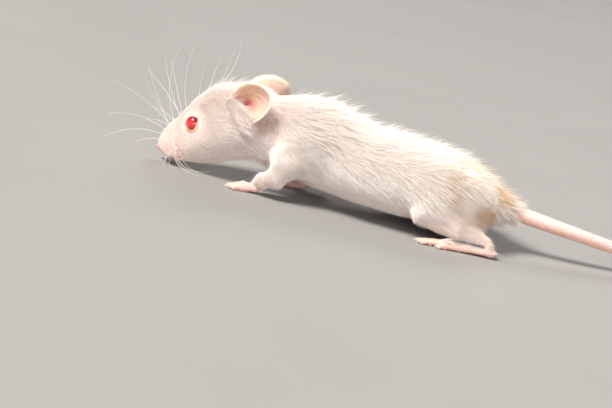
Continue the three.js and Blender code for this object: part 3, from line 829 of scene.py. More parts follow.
def edgeAt(p):
    # the length of the skin's edges at each place
    q = toFace(p)
    s, h = q[:, 0], q[:, 2]
    edge = np.full(len(p), fine["trunk"])
    edge = np.where(s < fine["headTo"], fine["head"], edge)
    edge = np.where(s < fine["faceTo"], fine["face"], edge)
    toEye = np.linalg.norm(q - eyePlace, axis=1)
    edge = np.where(toEye < fine["round"], fine["lids"], edge)
    return np.where((s < fine["muzzleTo"]) & (h > fine["muzzleAbove"]), fine["muzzle"], edge)


def bodyShape():
    points, faces = closedMesh(bodyForm, *fine["box"], fine["step"])
    points = relax(points, faces, np.full(len(points), 0.5), 2, bodyForm)
    points, faces = refine(points, faces, bodyForm, edgeAt, 5)
    points = relax(points, faces, np.full(len(points), 0.4), 2, bodyForm)
    for _ in range(8):
        points = ontoField(bodyField, points, 1, 0.09)
        points = relax(points, faces, np.full(len(points), 0.12), 1)
    points = ontoField(bodyField, points, 1, 0.05)
    return points, faces


def footShape(name):
    field = footField(name)
    at, _, _ = footPlaces(name)
    low = np.minimum(at(0, 0, 0), at(1, 0, 0)) - np.array([5.5, 4, 0.6])
    high = np.maximum(at(0, 0, 0), at(1, 0, 0)) + np.array([4, 4, 5.4])
    points, faces = closedMesh(field, low, high, fine["footStep"])
    return ontoField(field, points, 2, 0.1), faces


def unionOf(shapes):
    # the shapes (points, faces) joined by one Boolean union
    pieces = [makePiece(f"shape{i}", *shape) for i, shape in enumerate(shapes)]
    collection = bpy.data.collections.new("joined")
    for piece in pieces[1:]:
        collection.objects.link(piece)
    union = pieces[0].modifiers.new("union", "BOOLEAN")
    union.operation, union.solver = "UNION", "MANIFOLD"
    union.operand_type, union.collection = "COLLECTION", collection
    graph = bpy.context.evaluated_depsgraph_get()
    whole = bpy.data.meshes.new_from_object(pieces[0].evaluated_get(graph))
    points, faces = arraysOf(whole)
    for piece in pieces:
        mesh = piece.data
        bpy.data.objects.remove(piece)
        bpy.data.meshes.remove(mesh)
    bpy.data.collections.remove(collection)
    bpy.data.meshes.remove(whole)
    return points, faces


def softenCreases(points, faces, known):
    # relaxes the skin round the creases where two shapes meet: the points that no shape had
    old = set(map(tuple, np.round(known, 3)))
    seam = np.array([tuple(row) not in old for row in np.round(points, 3)])
    edges, _ = edgesOf(faces)
    weight = seam.astype(float)
    for _ in range(7):
        spread = weight.copy()
        np.maximum.at(spread, edges[:, 0], 0.82 * weight[edges[:, 1]])
        np.maximum.at(spread, edges[:, 1], 0.82 * weight[edges[:, 0]])
        weight = spread
    return relax(points, faces, 0.6 * smoothStep(0.2, 0.9, weight), 14)


def joinedSkin():
    shapes = [bodyShape(), tailShape(), earShell(left), earShell(right)]
    shapes += [footShape(name) for name in legs]
    print("shapes", [len(faces) for _, faces in shapes])
    points, faces = unionOf(shapes)
    points = softenCreases(points, faces, np.vstack([p for p, _ in shapes]))
    print("skin", len(faces))
    return points, faces


skinPoints, skinFaces = joinedSkin()
skin = makePiece("skin", skinPoints, skinFaces)
fleshNodes = ["head", "neck", "chest", "belly", "rump"] + [
    f"{part}_{name}" for part in ("ear", "foreleg", "hindleg", "forefoot", "hindfoot")
    for name in ("left", "right")] + [f"tail_{i}" for i in range(1, 5)]
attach(skin, "root")
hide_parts(*fleshNodes)


# ---- eyes, claws and whiskers

def roundBall(centre, radius, rows=40, columns=64):
    # centre + r (sin t cos a, sin t sin a, cos t), closed at both poles
    t = np.linspace(0, np.pi, rows + 2)[1:-1, None]
    a = np.linspace(0, 2 * np.pi, columns, endpoint=False)[None, :]
    grid = np.stack([np.sin(t) * np.cos(a), np.sin(t) * np.sin(a), np.cos(t) + 0 * a], -1)
    points, faces = closedRings(grid, [0, 0, 1], [0, 0, -1])
    return centre + radius * points, faces


def addEyes():
    for name, side in (("left", left), ("right", right)):
        centre = eyePlace * (1, side, 1)
        points, faces = roundBall(centre, eye["radius"])
        out = unit(np.array(eye["looks"]) * (1, side, 1))
        along = (points - centre) @ out
        # the cornea stands out from the ball by a low dome
        dome = eye["cornea"] * smoothStep(eye["corneaFrom"], eye["corneaTo"], along)
        points += out * dome[:, None]
        piece = makePiece(f"eyeball_{name}", fromHead(points), faces)
        addMask(piece, "look", along / eye["radius"])
        # painted shade: darker towards the back and top of the eye
        back = (points - centre) @ np.array(eye["rear"])
        addMask(piece, "rear", 0.8 * smoothStep(-0.1, 1.5, back))
        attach(piece, "root")
        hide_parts(f"eye_{name}")


def joinShapes(shapes):
    # many shapes (points, faces) as one
    start, points, faces = 0, [], []
    for p, f in shapes:
        points.append(p)
        faces.append(f + start)
        start += len(p)
    return np.vstack(points), np.vstack(faces)


claw = {
    "long": 1.15, "radius": 0.19, "rows": 12, "columns": 10,
    "inside": 0.25, "arch": 0.36, "tipHeight": 0.12,
}


def addClaws():
    # tapered tubes from inside each toe's tip, curving down to just above the floor
    shapes = []
    u = np.linspace(0, 1, claw["rows"])[:, None]
    for name in legs:
        _, toes, size = footPlaces(name)
        t = size["thick"]
        for root, heading, long in toes:
            height = 1.05 * t * (1 - u) + claw["tipHeight"] + claw["arch"] * t * np.sin(np.pi * u)
            line = root + heading * (long - claw["inside"] + claw["long"] * u * (t / 0.5))
            line = line * (1, 1, 0) + np.array([0, 0, 1]) * height
            radius = claw["radius"] * (1 - 0.93 * u[:, 0] ** 1.5)
            shapes.append(tubeAlong(line, radius, claw["columns"]))
    piece = makePiece("claws", *joinShapes(shapes))
    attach(piece, "root")


addEyes()
addClaws()
print("eyes and claws made")


# ---- whiskers and the long hairs of the brow

# stops of the main ones on the left side: along the head, out to the side, above it
whiskerStops = [
    [(7.0, 3.3, 0.6), (5.7, 5.9, 8.0), (3.7, 8.4, 13.5), (1.0, 11.7, 18.2)],
    [(5.5, 3.7, 1.1), (3.1, 6.0, 6.1), (1.3, 7.9, 9.2), (-3.6, 11.2, 11.8)],
    [(4.9, 3.9, 0.9), (1.8, 6.5, 4.8), (-3.3, 9.5, 7.1), (-6.4, 12.3, 7.5)],
    [(4.4, 4.2, 0.1), (2.4, 5.8, 2.0), (0.2, 7.4, 3.2), (-1.9, 9.2, 3.3)],
    [(8.2, 2.9, 0.6), (9.0, 4.5, 8.0), (10.7, 5.8, 11.6), (17.5, 5.5, 18.9)],
    [(6.5, 3.4, 1.1), (7.1, 6.1, 7.1), (7.1, 8.5, 13.5), (8.4, 11.1, 18.3)],
    [(6.7, 3.4, 0.5), (6.6, 4.4, 6.1), (7.0, 5.0, 13.2), (8.6, 5.5, 18.6)],
    [(4.7, 4.2, -2.1), (6.2, 6.5, -7.5), (9.1, 7.9, -9.5), (12.5, 9.4, -10.4)],
    [(14.9, 2.4, 6.1), (16.2, 3.9, 7.5), (19.2, 4.8, 11.1), (21.6, 6.0, 13.4)],
    [(20.0, 0.7, 6.7), (22.0, 2.0, 8.3), (26.4, 2.5, 11.4), (28.8, 3.6, 13.5)],
]
whisker = {
    "root": 0.058, "tip": 0.016, "rows": 26, "columns": 6, "more": 15, "seed": 5,
    "padRows": 5, "padFirst": (2.6, 3.0, -0.2), "padColumn": (1.5, 0.35), "padRow": 0.75,
    "padLong": (6, 10), "stout": 0.62, "inside": 0.3, "floor": 0.3,
}


def softCurve(stops, count):
    # p(t) = first stop + a t + b t^2, with the a and b that pass nearest to the other stops
    run = np.cumsum(np.linalg.norm(np.diff(stops, axis=0), axis=1))
    t = (run / run[-1])[:, None]
    a, b = np.linalg.lstsq(np.hstack([t, t * t]), stops[1:] - stops[0], rcond=None)[0]
    t = np.linspace(0, 1, count)[:, None]
    return stops[0] + a * t + b * t * t


def moreWhiskers(draw):
    # finer ones in rows over the pad: out from the pad, swept back, with a slow bend
    made = []
    first, (back, out) = whisker["padFirst"], whisker["padColumn"]
    for i in range(whisker["more"]):
        row, column = i % whisker["padRows"], i // whisker["padRows"]
        s = first[0] + back * column + draw.uniform(-0.3, 0.3)
        h = first[2] - whisker["padRow"] * row + draw.uniform(-0.2, 0.2)
        root = np.array([s, first[1] + out * column, h])
        long = draw.uniform(*whisker["padLong"]) + 1.6 * column
        way = unit(np.array([-0.35 + 0.35 * column + draw.normal(0, 0.15), 1.0,
                             0.9 - 0.5 * row + draw.normal(0, 0.15)]))
        bend = np.array([0.25, -0.1, draw.uniform(-0.1, 0.2)])
        made.append([tuple(root + way * long * t + bend * long * t * t) for t in (0, 0.35, 0.7, 1)])
    return made


def addWhiskers():
    shapes = []
    for side in (left, right):
        draw = np.random.default_rng(whisker["seed"] + side)
        every = [(stops, 1.0) for stops in whiskerStops]
        every += [(stops, whisker["stout"]) for stops in moreWhiskers(draw)]
        for stops, stout in every:
            stops = np.array(stops)
            if side > 0:
                far = 1 + draw.normal(0, 0.07, (4, 3)) * np.linspace(0, 1, 4)[:, None]
                stops = stops[0] + (stops - stops[0]) * far
            line = fromHead(stops * (1, side, 1))
            line[0] = ontoField(bodyForm, line[:1], 6, 1.0)[0]
            line[0] = line[0] + whisker["inside"] * unit(line[0] - line[1])
            path = softCurve(line, whisker["rows"])
            t = np.linspace(0, 1, whisker["rows"])
            # a long one lies softly on the floor
            path[:, 2] = smoothMax(path[:, 2], whisker["floor"], 0.1 + 5 * t)
            radius = stout * (whisker["root"] * (1 - t) + whisker["tip"] * t)
            shapes.append(tubeAlong(path, radius, whisker["columns"]))
    piece = makePiece("whiskers", *joinShapes(shapes))
    for key, value in (("tip", 1), ("shade", 0.6), ("stain", 0), ("blush", 0)):
        addMask(piece, key, np.full(len(piece.data.vertices), value))
    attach(piece, "root")


addWhiskers()
print("whiskers made")


# ---- coat

coat = {
    "seed": 7, "clump": 1.0, "pull": 0.22, "pieces": 7,
    # length along the head and along the trunk, and hairs per mm2 for a length
    "face": ([0, 2, 6, 10, 16, 22, 27], [0.4, 0.55, 0.8, 1.15, 1.8, 2.5, 3.2]),
    "body": ([24, 34, 48, 66, 78, 84], [3.2, 4.1, 3.8, 4.1, 4.4, 3.4]),
    "many": ([0.4, 0.8, 1.5, 3, 4], [120, 92, 56, 32, 26]),
    "onLegs": 1.9, "bareBelow": 1.7, "bareBehind": 84.4, "bareNose": 0.9, "bareRound": 0.32,
    # each kind of hair: its share of the number, its length and width against the coat's at the
    # place, its rise off the skin in radians, how much it bends back, and how far it strays
    "kinds": {
        "under": {"share": 0.86, "long": 0.9, "wide": 1.0, "rise": 0.24, "bend": 0, "stray": 0.2},
        "long": {"share": 0.14, "long": 1.15, "wide": 0.7, "rise": 0.28, "bend": 0.14, "stray": 0.12},
        "guard": {"share": 1, "long": 1.0, "wide": 0.7, "rise": 0.58, "bend": 0.12, "stray": 0.22},
    },
}
fuzz = {
    # fine hairs on bare skin: number per mm2, length, width, rise
    "ear": (15, 0.75, 0.028, 0.45), "foot": (16, 0.62, 0.04, 0.3), "tail": (6.5, 0.95, 0.035, 0.3),
}


def lieOf(p, n):
    # the way the coat lies: from nose to tail, down the sides, and down the legs
    turn, lean = headTurn()
    s = toHead(p)[:, 0]
    onHead = smoothStep(30, 20, p[:, 0] + noseShift) * smoothStep(30, 22, s)
    back = turn @ lean @ np.array([1, 0, -0.12])
    trunk = np.array([1, 0, -0.06])
    lie = onHead[:, None] * back + (1 - onHead)[:, None] * trunk
    lie = lie - np.outer(0.45 * np.abs(n[:, 1]), [0, 0, 1])
    # a slow swirl, so that neighbouring locks lie a little across each other
    wave = np.sin(p @ np.array([0.9, 0.5, 0.7])) + np.sin(p @ np.array([0.37, -0.8, 1.1]) + 2)
    lie = lie + 0.09 * wave[:, None] * np.cross(n, lie)
    for leg in legs.values():
        joints = leg["joints"]
        near = smoothStep(1.2, -0.6, legField(leg, p)) * smoothStep(12.5, 8, p[:, 2])
        near = near * smoothStep(-0.5, 1.5, trunkField(p))
        down = unit(np.array(joints[-1][:3]) - np.array(joints[0][:3]))
        lie = lie * (1 - near)[:, None] + near[:, None] * down
    return unit(lie - (lie * n).sum(1)[:, None] * n)


def earMask(p, off, side):
    # 1 on the shell of the ear, 0 off it; off is how far the place lies from the body's form
    e = toEar(p, side)
    deep, share = cupDepth(e, side)
    shell = smoothStep(1.5, 0.9, np.abs(e[:, 2] - deep)) * smoothStep(1.16, 1.08, share)
    return shell * np.maximum(smoothStep(0.1, 0.3, off), smoothStep(0.95, 0.7, share)
                              * smoothStep(0.3, 0.1, np.abs(e[:, 2] - deep)))


def footMask(p, low, high):
    # 1 on the feet below low, 0 above high, soft between
    near = np.zeros(len(p))
    for name, leg in legs.items():
        x, y, _, _ = leg["joints"][-1]
        reach = 18 if name.startswith("hind") else 8
        near = np.maximum(near, np.hypot(p[:, 0] - x, p[:, 1] - y) < reach)
    return near * smoothStep(high, low, p[:, 2])


def coatAt(p, n):
    # length of the hairs, and how many grow per mm2 at each place
    q = toFace(p)
    s, h = q[:, 0], q[:, 2]
    x = p[:, 0] + noseShift
    head = smoothStep(29, 22, s) * smoothStep(33, 27, x)
    face, body = np.interp(s, *coat["face"]), np.interp(x, *coat["body"])
    body = body * (1 - 0.25 * smoothStep(0.2, -0.7, n[:, 2]))
    length = head * face + (1 - head) * body
    toEye = np.linalg.norm(q - eyePlace, axis=1)
    length = length * (0.3 + 0.7 * smoothStep(2.2, 4.6, toEye))
    bare = toEye < eye["radius"] + coat["bareRound"]
    off = bodyForm(p)
    for leg in legs.values():
        to = np.linalg.norm(p - np.array(leg["joints"][-1][:3]), axis=1)
        length = np.minimum(length, np.maximum(0.45, 0.24 * to + 0.4))
        onLeg = smoothStep(1.2, 0.2, legField(leg, p)) * smoothStep(0.2, 1.6, trunkField(p))
        length = length * (1 - onLeg) + np.minimum(length, coat["onLegs"]) * onLeg
    for side in (left, right):
        bare |= earMask(p, off, side) > 0.5
    bare |= (p[:, 2] < coat["bareBelow"]) | (x > coat["bareBehind"])
    bare |= (s < coat["bareNose"]) & (h > -coat["bareNose"])
    return length, np.where(bare, 0, np.interp(length, *coat["many"]))


# how many guard hairs grow per mm2 of each area, and how much longer than elsewhere
guard = {
    "shoulders": (3.0, 0.9), "end": (3.0, 0.9), "crown": (2.6, 0.6), "back": (2.2, 0),
    "throat": (2.0, 0),
}


def guardAt(p, n, length):
    # length of the guard hairs, and how many per mm2: on the crown, the shoulders, the back, the
    # end of the rump and, hanging, on chin and throat
    s = toHead(p)[:, 0]
    x = p[:, 0] + noseShift
    top, under = smoothStep(0.0, 0.7, n[:, 2]), smoothStep(-0.1, -0.7, n[:, 2])
    areas = {
        "crown": (bell(s - 20.5, 4.5) * smoothStep(33, 29, x), top),
        "shoulders": (bell(x - 38, 7), top),
        "back": (smoothStep(42, 50, x), top),
        "end": (smoothStep(76, 81, x), 1),
        "throat": (smoothStep(2, 5, s) * smoothStep(33, 28, x), under),
    }
    many, long = 0, 1.3 * length
    for name, (dense, longer) in guard.items():
        area, turned = areas[name]
        many = np.maximum(many, turned * (dense * area))
        long = long + longer * area
    return np.where(length > 0.6, long, length), many


def grow(points, faces, density, draw):
    # random places on the faces, as many per mm2 as density says at each, with their normals
    p = points[faces]
    area = 0.5 * np.linalg.norm(np.cross(p[:, 1] - p[:, 0], p[:, 2] - p[:, 0]), axis=1)
    expect = area * density[faces].mean(1)
    number = np.floor(expect + draw.random(len(faces))).astype(int)
    face = np.repeat(np.arange(len(faces)), number)
    u, v = draw.random(len(face)), draw.random(len(face))
    over = u + v > 1
    u[over], v[over] = 1 - u[over], 1 - v[over]
    w = np.column_stack([1 - u - v, u, v])
    normal = normalsOf(points, faces)
    corner = faces[face]
    place = (points[corner] * w[..., None]).sum(1)
    return place, unit((normal[corner] * w[..., None]).sum(1))


def hairs(root, normal, lie, length, width, kind, draw):
    # Each hair is a three-sided spike along root + u length (lie cos rise + normal sin rise)
    # - u^2 bend length normal; bent ones have a ring half way, straight ones have none.
    n = len(root)
    lie = unit(lie + draw.normal(0, kind["stray"], n)[:, None] * np.cross(normal, lie))
    across = np.cross(normal, lie)
    rise = kind["rise"] * (0.5 + draw.random(n))
    way = lie * np.cos(rise)[:, None] + normal * np.sin(rise)[:, None]
    length = length * (0.65 + 0.6 * draw.random(n))
    # hairs of one clump lean together at their tips
    cell = np.floor(root / coat["clump"] + 80).astype(int)
    key = np.unique(cell @ np.array([1, 211, 44521]), return_inverse=True)[1]
    number = np.bincount(key)[:, None]
    mean = np.column_stack([np.bincount(key, root[:, k]) for k in range(3)]) / number
    lean = mean[key] - root
    lean -= (lean * normal).sum(1)[:, None] * normal
    pull = coat["pull"] * np.minimum(1, length / 3)

    def along(u):
        return (root - 0.06 * normal + (u * length)[:, None] * way + (u * u)[:, None]
                * (pull[:, None] * lean - (kind["bend"] * length)[:, None] * normal))
    third = [(math.cos(t), math.sin(t)) for t in (0.5 * math.pi, 1.17 * math.pi, 1.83 * math.pi)]

    def ring(u, share):
        centre = along(np.full(n, u))
        half = 0.5 * width * share
        return [centre + (c * half)[:, None] * across + (0.7 * k * half)[:, None] * normal
                for c, k in third]
    rings = [ring(0, 1.0)] + ([ring(0.5, 0.8)] if kind["bend"] else [])
    points = np.stack([c for each in rings for c in each] + [along(np.ones(n))], 1)
    if kind["bend"]:
        pattern = [(0, 2, 1), (0, 1, 4), (0, 4, 3), (1, 2, 5), (1, 5, 4), (2, 0, 3), (2, 3, 5),
                   (3, 4, 6), (4, 5, 6), (5, 3, 6)]
        tip = [0, 0, 0, 0.5, 0.5, 0.5, 1]
    else:
        pattern = [(0, 2, 1), (0, 1, 3), (1, 2, 3), (2, 0, 3)]
        tip = [0, 0, 0, 1]
    return points, np.array(pattern), np.array(tip, float)


# the square of the unwrap: its edge, the size of the trunk's patch and of the others, the step
# from one to the next, and how high the lowest leg's, the ears' and the tail's lie
sheet = {
    "edge": 0.01, "trunk": (0.97, 0.58), "patch": (0.46, 0.09), "step": (0.51, 0.1),
    "legs": 0.61, "ears": 0.81, "tail": 0.91,
}


def turnOf(n):
    # the share of a turn at which a normal points
    return np.arctan2(n[:, 1], n[:, 2]) / (2 * np.pi) + 0.5


def unwrap(p, n):
    # The skin rolled out on a square: head and trunk along u and round v, and above them a patch
    # for each leg, each ear and the tail, along it and round it.
    x = p[:, 0] + noseShift
    middle = 0.5 * (smoothColumn(trunkRings, 1, x) + smoothColumn(trunkRings, 2, x))
    turn = np.arctan2(p[:, 1], p[:, 2] - middle) / (2 * np.pi) + 0.5
    flat = np.column_stack([np.clip(x / 88, 0, 1), turn])
    place = sheet["edge"] + np.array(sheet["trunk"]) * flat

    def patch(on, column, high, along, about):
        low = np.array([sheet["edge"] + column * sheet["step"][0], high])
        flat = np.clip(np.column_stack([along, about]), 0, 1)
        place[on] = (low + np.array(sheet["patch"]) * flat)[on]
    trunk = trunkField(p)
    for i, leg in enumerate(legs.values()):
        first, last = np.array(leg["joints"][0][:3]), np.array(leg["joints"][-1][:3])
        share = ((p - first) @ (last - first)) / ((last - first) @ (last - first))
        foot = np.hypot(p[:, 0] - last[0], p[:, 1] - last[1]) < 18
        on = ((legField(leg, p) < 1) & (trunk > 0.8)) | (foot & (p[:, 2] < 2.6) & (trunk > 0.8))
        patch(on & (p[:, 1] * leg["side"] > 0), i % 2, sheet["legs"] + sheet["step"][1] * (i // 2),
              0.3 + 0.4 * share, turnOf(n))
    off = bodyForm(p)
    for i, side in enumerate((left, right)):
        e = toEar(p, side)
        front = 0.5 * (n @ (fromEar(np.eye(3)[2:], side) - fromEar(np.zeros((1, 3)), side))[0] < 0)
        patch(earMask(p, off, side) > 0.5, i, sheet["ears"],
              0.5 * (0.5 + e[:, 0] / 13) + front, (e[:, 1] + 2) / 12)
    patch(x > 84, 0, sheet["tail"], (x - 84) / 74, turnOf(n))
    return place


# spots on each side of the head: mark, middle, how much each direction counts, width, strength
spots = {
    # painted glow of light through the ear, tinting the coat tan behind it
    "glowBehindEar": ("stain", (33.2, 7.5, -0.4), (1, 0.5, 1), 2.8, 0.8),
    "whiskerPad": ("blush", (4.8, 3.2, -2.0), (1, 0.7, 1), 3.3, 1),
    "chin": ("blush", (11.6, 3.0, -7.3), (1, 1, 1), 1.2, 1),
    "roundEye": ("blush", (eye["s"], 5.0, eye["height"]), (1, 1, 1), 3.0, 0.6),
    # pink skin under the ear, partly painted shade behind the ear's rim
    "blushAndShadeUnderEar": ("blush", (28.6, 8.5, -4.4), (1, 0.4, 1), 3.2, 1.3),
}


def markings(p):
    # how far the coat is stained tan over the rump, with painted glow of light through the ear
    # behind each ear; and how far pink skin shows through it: at spots, low on the body and a little
    # all over the head, the pink low on the body and under the ears partly painted shade
    q = toFace(p)
    x = p[:, 0] + noseShift
    stain = 0.85 * smoothStep(60, 78, x) * smoothStep(6, 12, p[:, 2] + 0.3 * (x - 70))
    # pink low on the body: thin fur there, and partly painted shade of the lower flank
    low = 0.55 * smoothStep(11, 3, p[:, 2]) * smoothStep(16, 26, x)
    marks = {"stain": stain, "blush": np.maximum(low, 0.3 * smoothStep(30, 26, x))}
    for mark, middle, counts, width, strength in spots.values():
        far = np.sqrt((counts * (q - middle) ** 2).sum(1))
        marks[mark] = np.maximum(marks[mark], strength * bell(far, width))
    return marks


def addHairPiece(name, place, normal, points, pattern, tip, shade):
    # one piece of hairs, with the marks of its roots, the share along each hair, and OFBake,
    # where each hair is a patch 0.003 across at its root's place on the unwrap
    count = points.shape[1]
    faces = (np.arange(len(points))[:, None, None] * count + pattern[None]).reshape(-1, 3)
    piece = makePiece(name, points.reshape(-1, 3), faces, False)
    for key, values in markings(place).items():
        addMask(piece, key, np.repeat(values, count))
    addMask(piece, "shade", np.repeat(shade, count))
    addMask(piece, "tip", np.tile(tip, len(points)))
    turn = np.arange(count) * 2 * np.pi / 3
    spread = 0.0015 * np.column_stack([np.cos(turn), np.sin(turn)])
    spread[-1] = 0
    corner = (unwrap(place, normal)[:, None, :] + spread[None]).reshape(-1, 2)
    layer = piece.data.uv_layers.new(name="OFBake")
    layer.data.foreach_set("uv", corner[faces.ravel()].astype(np.float32).ravel())
    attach(piece, "root")
    return len(faces)


def addCoat():
    normal = normalsOf(skinPoints, skinFaces)
    length, many = coatAt(skinPoints, normal)
    total = 0
    for number, (name, kind) in enumerate(coat["kinds"].items()):
        draw = np.random.default_rng(coat["seed"] + number)
        if name == "guard":
            _, dense = guardAt(skinPoints, normal, length)
            dense = np.where(many > 0, dense, 0)
        else:
            dense = many * kind["share"]
        place, up = grow(skinPoints, skinFaces, dense, draw)
        size, _ = coatAt(place, up)
        if name == "guard":
            size, _ = guardAt(place, up, size)
        wide = (0.035 + 0.026 * size) * kind["wide"]
        points, pattern, tip = hairs(place, up, lieOf(place, up), size * kind["long"], wide,
                                     kind, draw)
        shade = draw.random(len(place))
        pieces = 1 if name == "guard" else coat["pieces"]
        order = np.argsort(place[:, 0], kind="stable")
        for i, part in enumerate(np.array_split(order, pieces)):
            total += addHairPiece(f"coat_{name}_{i + 1}", place[part], up[part],
                                  points[part], pattern, tip, shade[part])
        print(name, len(place), "hairs")
    print("coat", total, "triangles")


def addFuzz():
    # fine short hairs on ears, feet and tail, each lying towards the edge, the toes or the tip
    normal = normalsOf(skinPoints, skinFaces)
    off = bodyForm(skinPoints)
    x = skinPoints[:, 0] + noseShift
    ears = np.maximum(earMask(skinPoints, off, left), earMask(skinPoints, off, right))
    masks = {"ear": ears > 0.6,
             "tail": (x > 83.6) & ((normal[:, 2] > -0.2) | (skinPoints[:, 2] > 1.4)),
             "foot": (footMask(skinPoints, 2.0, 3.6) > 0.3) & (normal[:, 2] > -0.1)
             & (skinPoints[:, 2] > 0.6) & (x < 83)}
    kind = {"bend": 0, "stray": 0.3, "rise": 0}
    for number, (name, (many, long, wide, rise)) in enumerate(fuzz.items()):
        draw = np.random.default_rng(coat["seed"] + 20 + number)
        place, up = grow(skinPoints, skinFaces, many * masks[name].astype(float), draw)
        if name == "ear":
            side = np.where(place[:, 1] > 0, right, left)
            lie = np.empty_like(place)
            for each in (left, right):
                e = toEar(place[side == each], each) - np.array([-each * 3.2, 3.0, 0])
                lie[side == each] = fromEar(e * (1, 1, 0), each) - fromEar(0 * e, each)
        else:
            lie = np.tile([-1.0, 0, -0.3] if name == "foot" else [1.0, 0.1, -0.1], (len(place), 1))
        lie = unit(lie - (lie * up).sum(1)[:, None] * up)
        size = np.full(len(place), long)
        points, pattern, tip = hairs(place, up, lie, size, np.full(len(place), wide),
                                     dict(kind, rise=rise), draw)
        addHairPiece(f"fuzz_{name}", place, up, points, pattern, tip,
                     draw.random(len(place)))
        print("fuzz", name, len(place), "hairs")


addCoat()
addFuzz()


# ---- materials

def addNode(tree, kind, inputs=(), **settings):
    # a node with its settings, and its inputs as values or as links from other sockets
    node = tree.nodes.new(kind)
    for key, value in settings.items():
        setattr(node, key, value)
    for key, value in dict(inputs).items():
        if isinstance(value, bpy.types.NodeSocket):
            tree.links.new(value, node.inputs[key])
        else:
            node.inputs[key].default_value = value
    return node


def mathNode(tree, operation, a, b=0.0, clamp=False):
    return addNode(tree, "ShaderNodeMath", {0: a, 1: b}, operation=operation,
                   use_clamp=clamp).outputs[0]


def mixColour(tree, share, a, b):
    node = addNode(tree, "ShaderNodeMix", {0: share, 6: a, 7: b}, data_type="RGBA")
    return node.outputs[2]


def between(tree, value, low, high, outLow=0.0, outHigh=1.0):
    return addNode(tree, "ShaderNodeMapRange", {0: value, 1: low, 2: high, 3: outLow, 4: outHigh},
                   interpolation_type="SMOOTHSTEP").outputs[0]


def objectPlace(tree):
    return addNode(tree, "ShaderNodeTexCoord").outputs["Object"]


def noiseNode(tree, place, scale, detail=2.0, rough=0.5):
    return addNode(tree, "ShaderNodeTexNoise", {"Vector": place, "Scale": scale, "Detail": detail,
                                                "Roughness": rough}).outputs[0]


def brighter(tree, colour, by):
    return addNode(tree, "ShaderNodeHueSaturation", {"Value": by, "Color": colour}).outputs[0]


def newGroup(name, inputs, outputs):
    # a shader node group with named inputs {name: default} and outputs {name: kind}
    group = bpy.data.node_groups.new(name, "ShaderNodeTree")
    for key, value in inputs.items():
        kind = "NodeSocketColor" if isinstance(value, tuple) else "NodeSocketFloat"
        group.interface.new_socket(key, in_out="INPUT", socket_type=kind).default_value = value
    for key, kind in outputs.items():
        group.interface.new_socket(key, in_out="OUTPUT", socket_type=kind)
    return group, group.nodes.new("NodeGroupInput").outputs, group.nodes.new("NodeGroupOutput")


def coatColours():
    # cream white, stained tan and blushed pink by the marks, both broken up by noise; the tan also
    # paints a glow behind the ears, and the pink is partly painted shade low down and under the ears
    group, given, out = newGroup(
        "coatColours", {"Pale": (0.9, 0.86, 0.8, 1), "Tan": (0.66, 0.45, 0.24, 1),
                        "Pink": (0.84, 0.47, 0.42, 1), "Stain": 0.0, "Blush": 0.0},
        {"Color": "NodeSocketColor"})
    place = objectPlace(group)
    cloud = noiseNode(group, place, 190, 3)
    fineCloud = noiseNode(group, place, 1100, 2)
    patches = between(group, cloud, 0.36, 0.62, 0.15, 1)
    specks = between(group, fineCloud, 0.35, 0.62, 0.1, 1)
    stain = mathNode(group, "MULTIPLY", given["Stain"], patches)
    blush = mathNode(group, "MULTIPLY", given["Blush"], specks)
    colour = mixColour(group, stain, given["Pale"], given["Tan"])
    colour = mixColour(group, blush, colour, given["Pink"])
    group.links.new(colour, out.inputs["Color"])
    return group


def skinGrain():
    # fine creases and pores: noise over a net of cells, as a height
    group, given, out = newGroup("skinGrain", {"Scale": 5200.0, "Crease": 0.5},
                                 {"Height": "NodeSocketFloat", "Tone": "NodeSocketFloat"})
    place = objectPlace(group)
    cells = addNode(group, "ShaderNodeTexVoronoi", {"Vector": place, "Scale": given["Scale"]},
                    feature="DISTANCE_TO_EDGE").outputs["Distance"]
    folds = noiseNode(group, place, 1400, 4, 0.6)
    net = between(group, cells, 0.0, 0.12)
    height = mathNode(group, "ADD", mathNode(group, "MULTIPLY", net, 0.35),
                      mathNode(group, "MULTIPLY", folds, given["Crease"]))
    group.links.new(height, out.inputs["Height"])
    group.links.new(folds, out.inputs["Tone"])
    return group


groups = {"coatColours": coatColours(), "skinGrain": skinGrain()}


def newMaterial(name, **values):
    # a material with its Principled shader set to plain values
    material = bpy.data.materials.new(name)
    material.use_nodes = True
    tree = material.node_tree
    shader = tree.nodes["Principled BSDF"]
    for key, value in values.items():
        shader.inputs[key.replace("_", " ")].default_value = value
    return material, tree, shader


def placeGroup(tree, name, inputs=()):
    return addNode(tree, "ShaderNodeGroup", inputs, node_tree=groups[name]).outputs


def maskOf(tree, name):
    return addNode(tree, "ShaderNodeAttribute", attribute_name=name).outputs["Fac"]


colours = {
    "earFlesh": (0.78, 0.57, 0.47, 1), "earRim": (0.86, 0.79, 0.66, 1),
    "earDeep": (0.46, 0.07, 0.06, 1), "earWarm": (0.68, 0.48, 0.28, 1),
    "earVein": (0.70, 0.36, 0.30, 1), "footPink": (0.84, 0.53, 0.45, 1),
    "tailTop": (0.80, 0.68, 0.63, 1), "tailUnder": (0.82, 0.50, 0.42, 1),
    "nosePink": (0.87, 0.55, 0.52, 1), "lidRim": (0.86, 0.50, 0.36, 1),
    "lips": (0.74, 0.36, 0.33, 1), "hairRoot": (0.86, 0.62, 0.55, 1),
    "hornDeep": (0.85, 0.66, 0.55, 1), "hornPale": (0.93, 0.83, 0.74, 1),
    "eyeDeep": (0.66, 0.02, 0.03, 1), "eyeBright": (0.85, 0.07, 0.07, 1),
    "pupilRing": (0.4, 0.006, 0.012, 1), "eyeShade": (0.24, 0.003, 0.012, 1),
    "floorDeep": (0.30, 0.29, 0.28, 1), "floorPale": (0.34, 0.33, 0.32, 1),
}


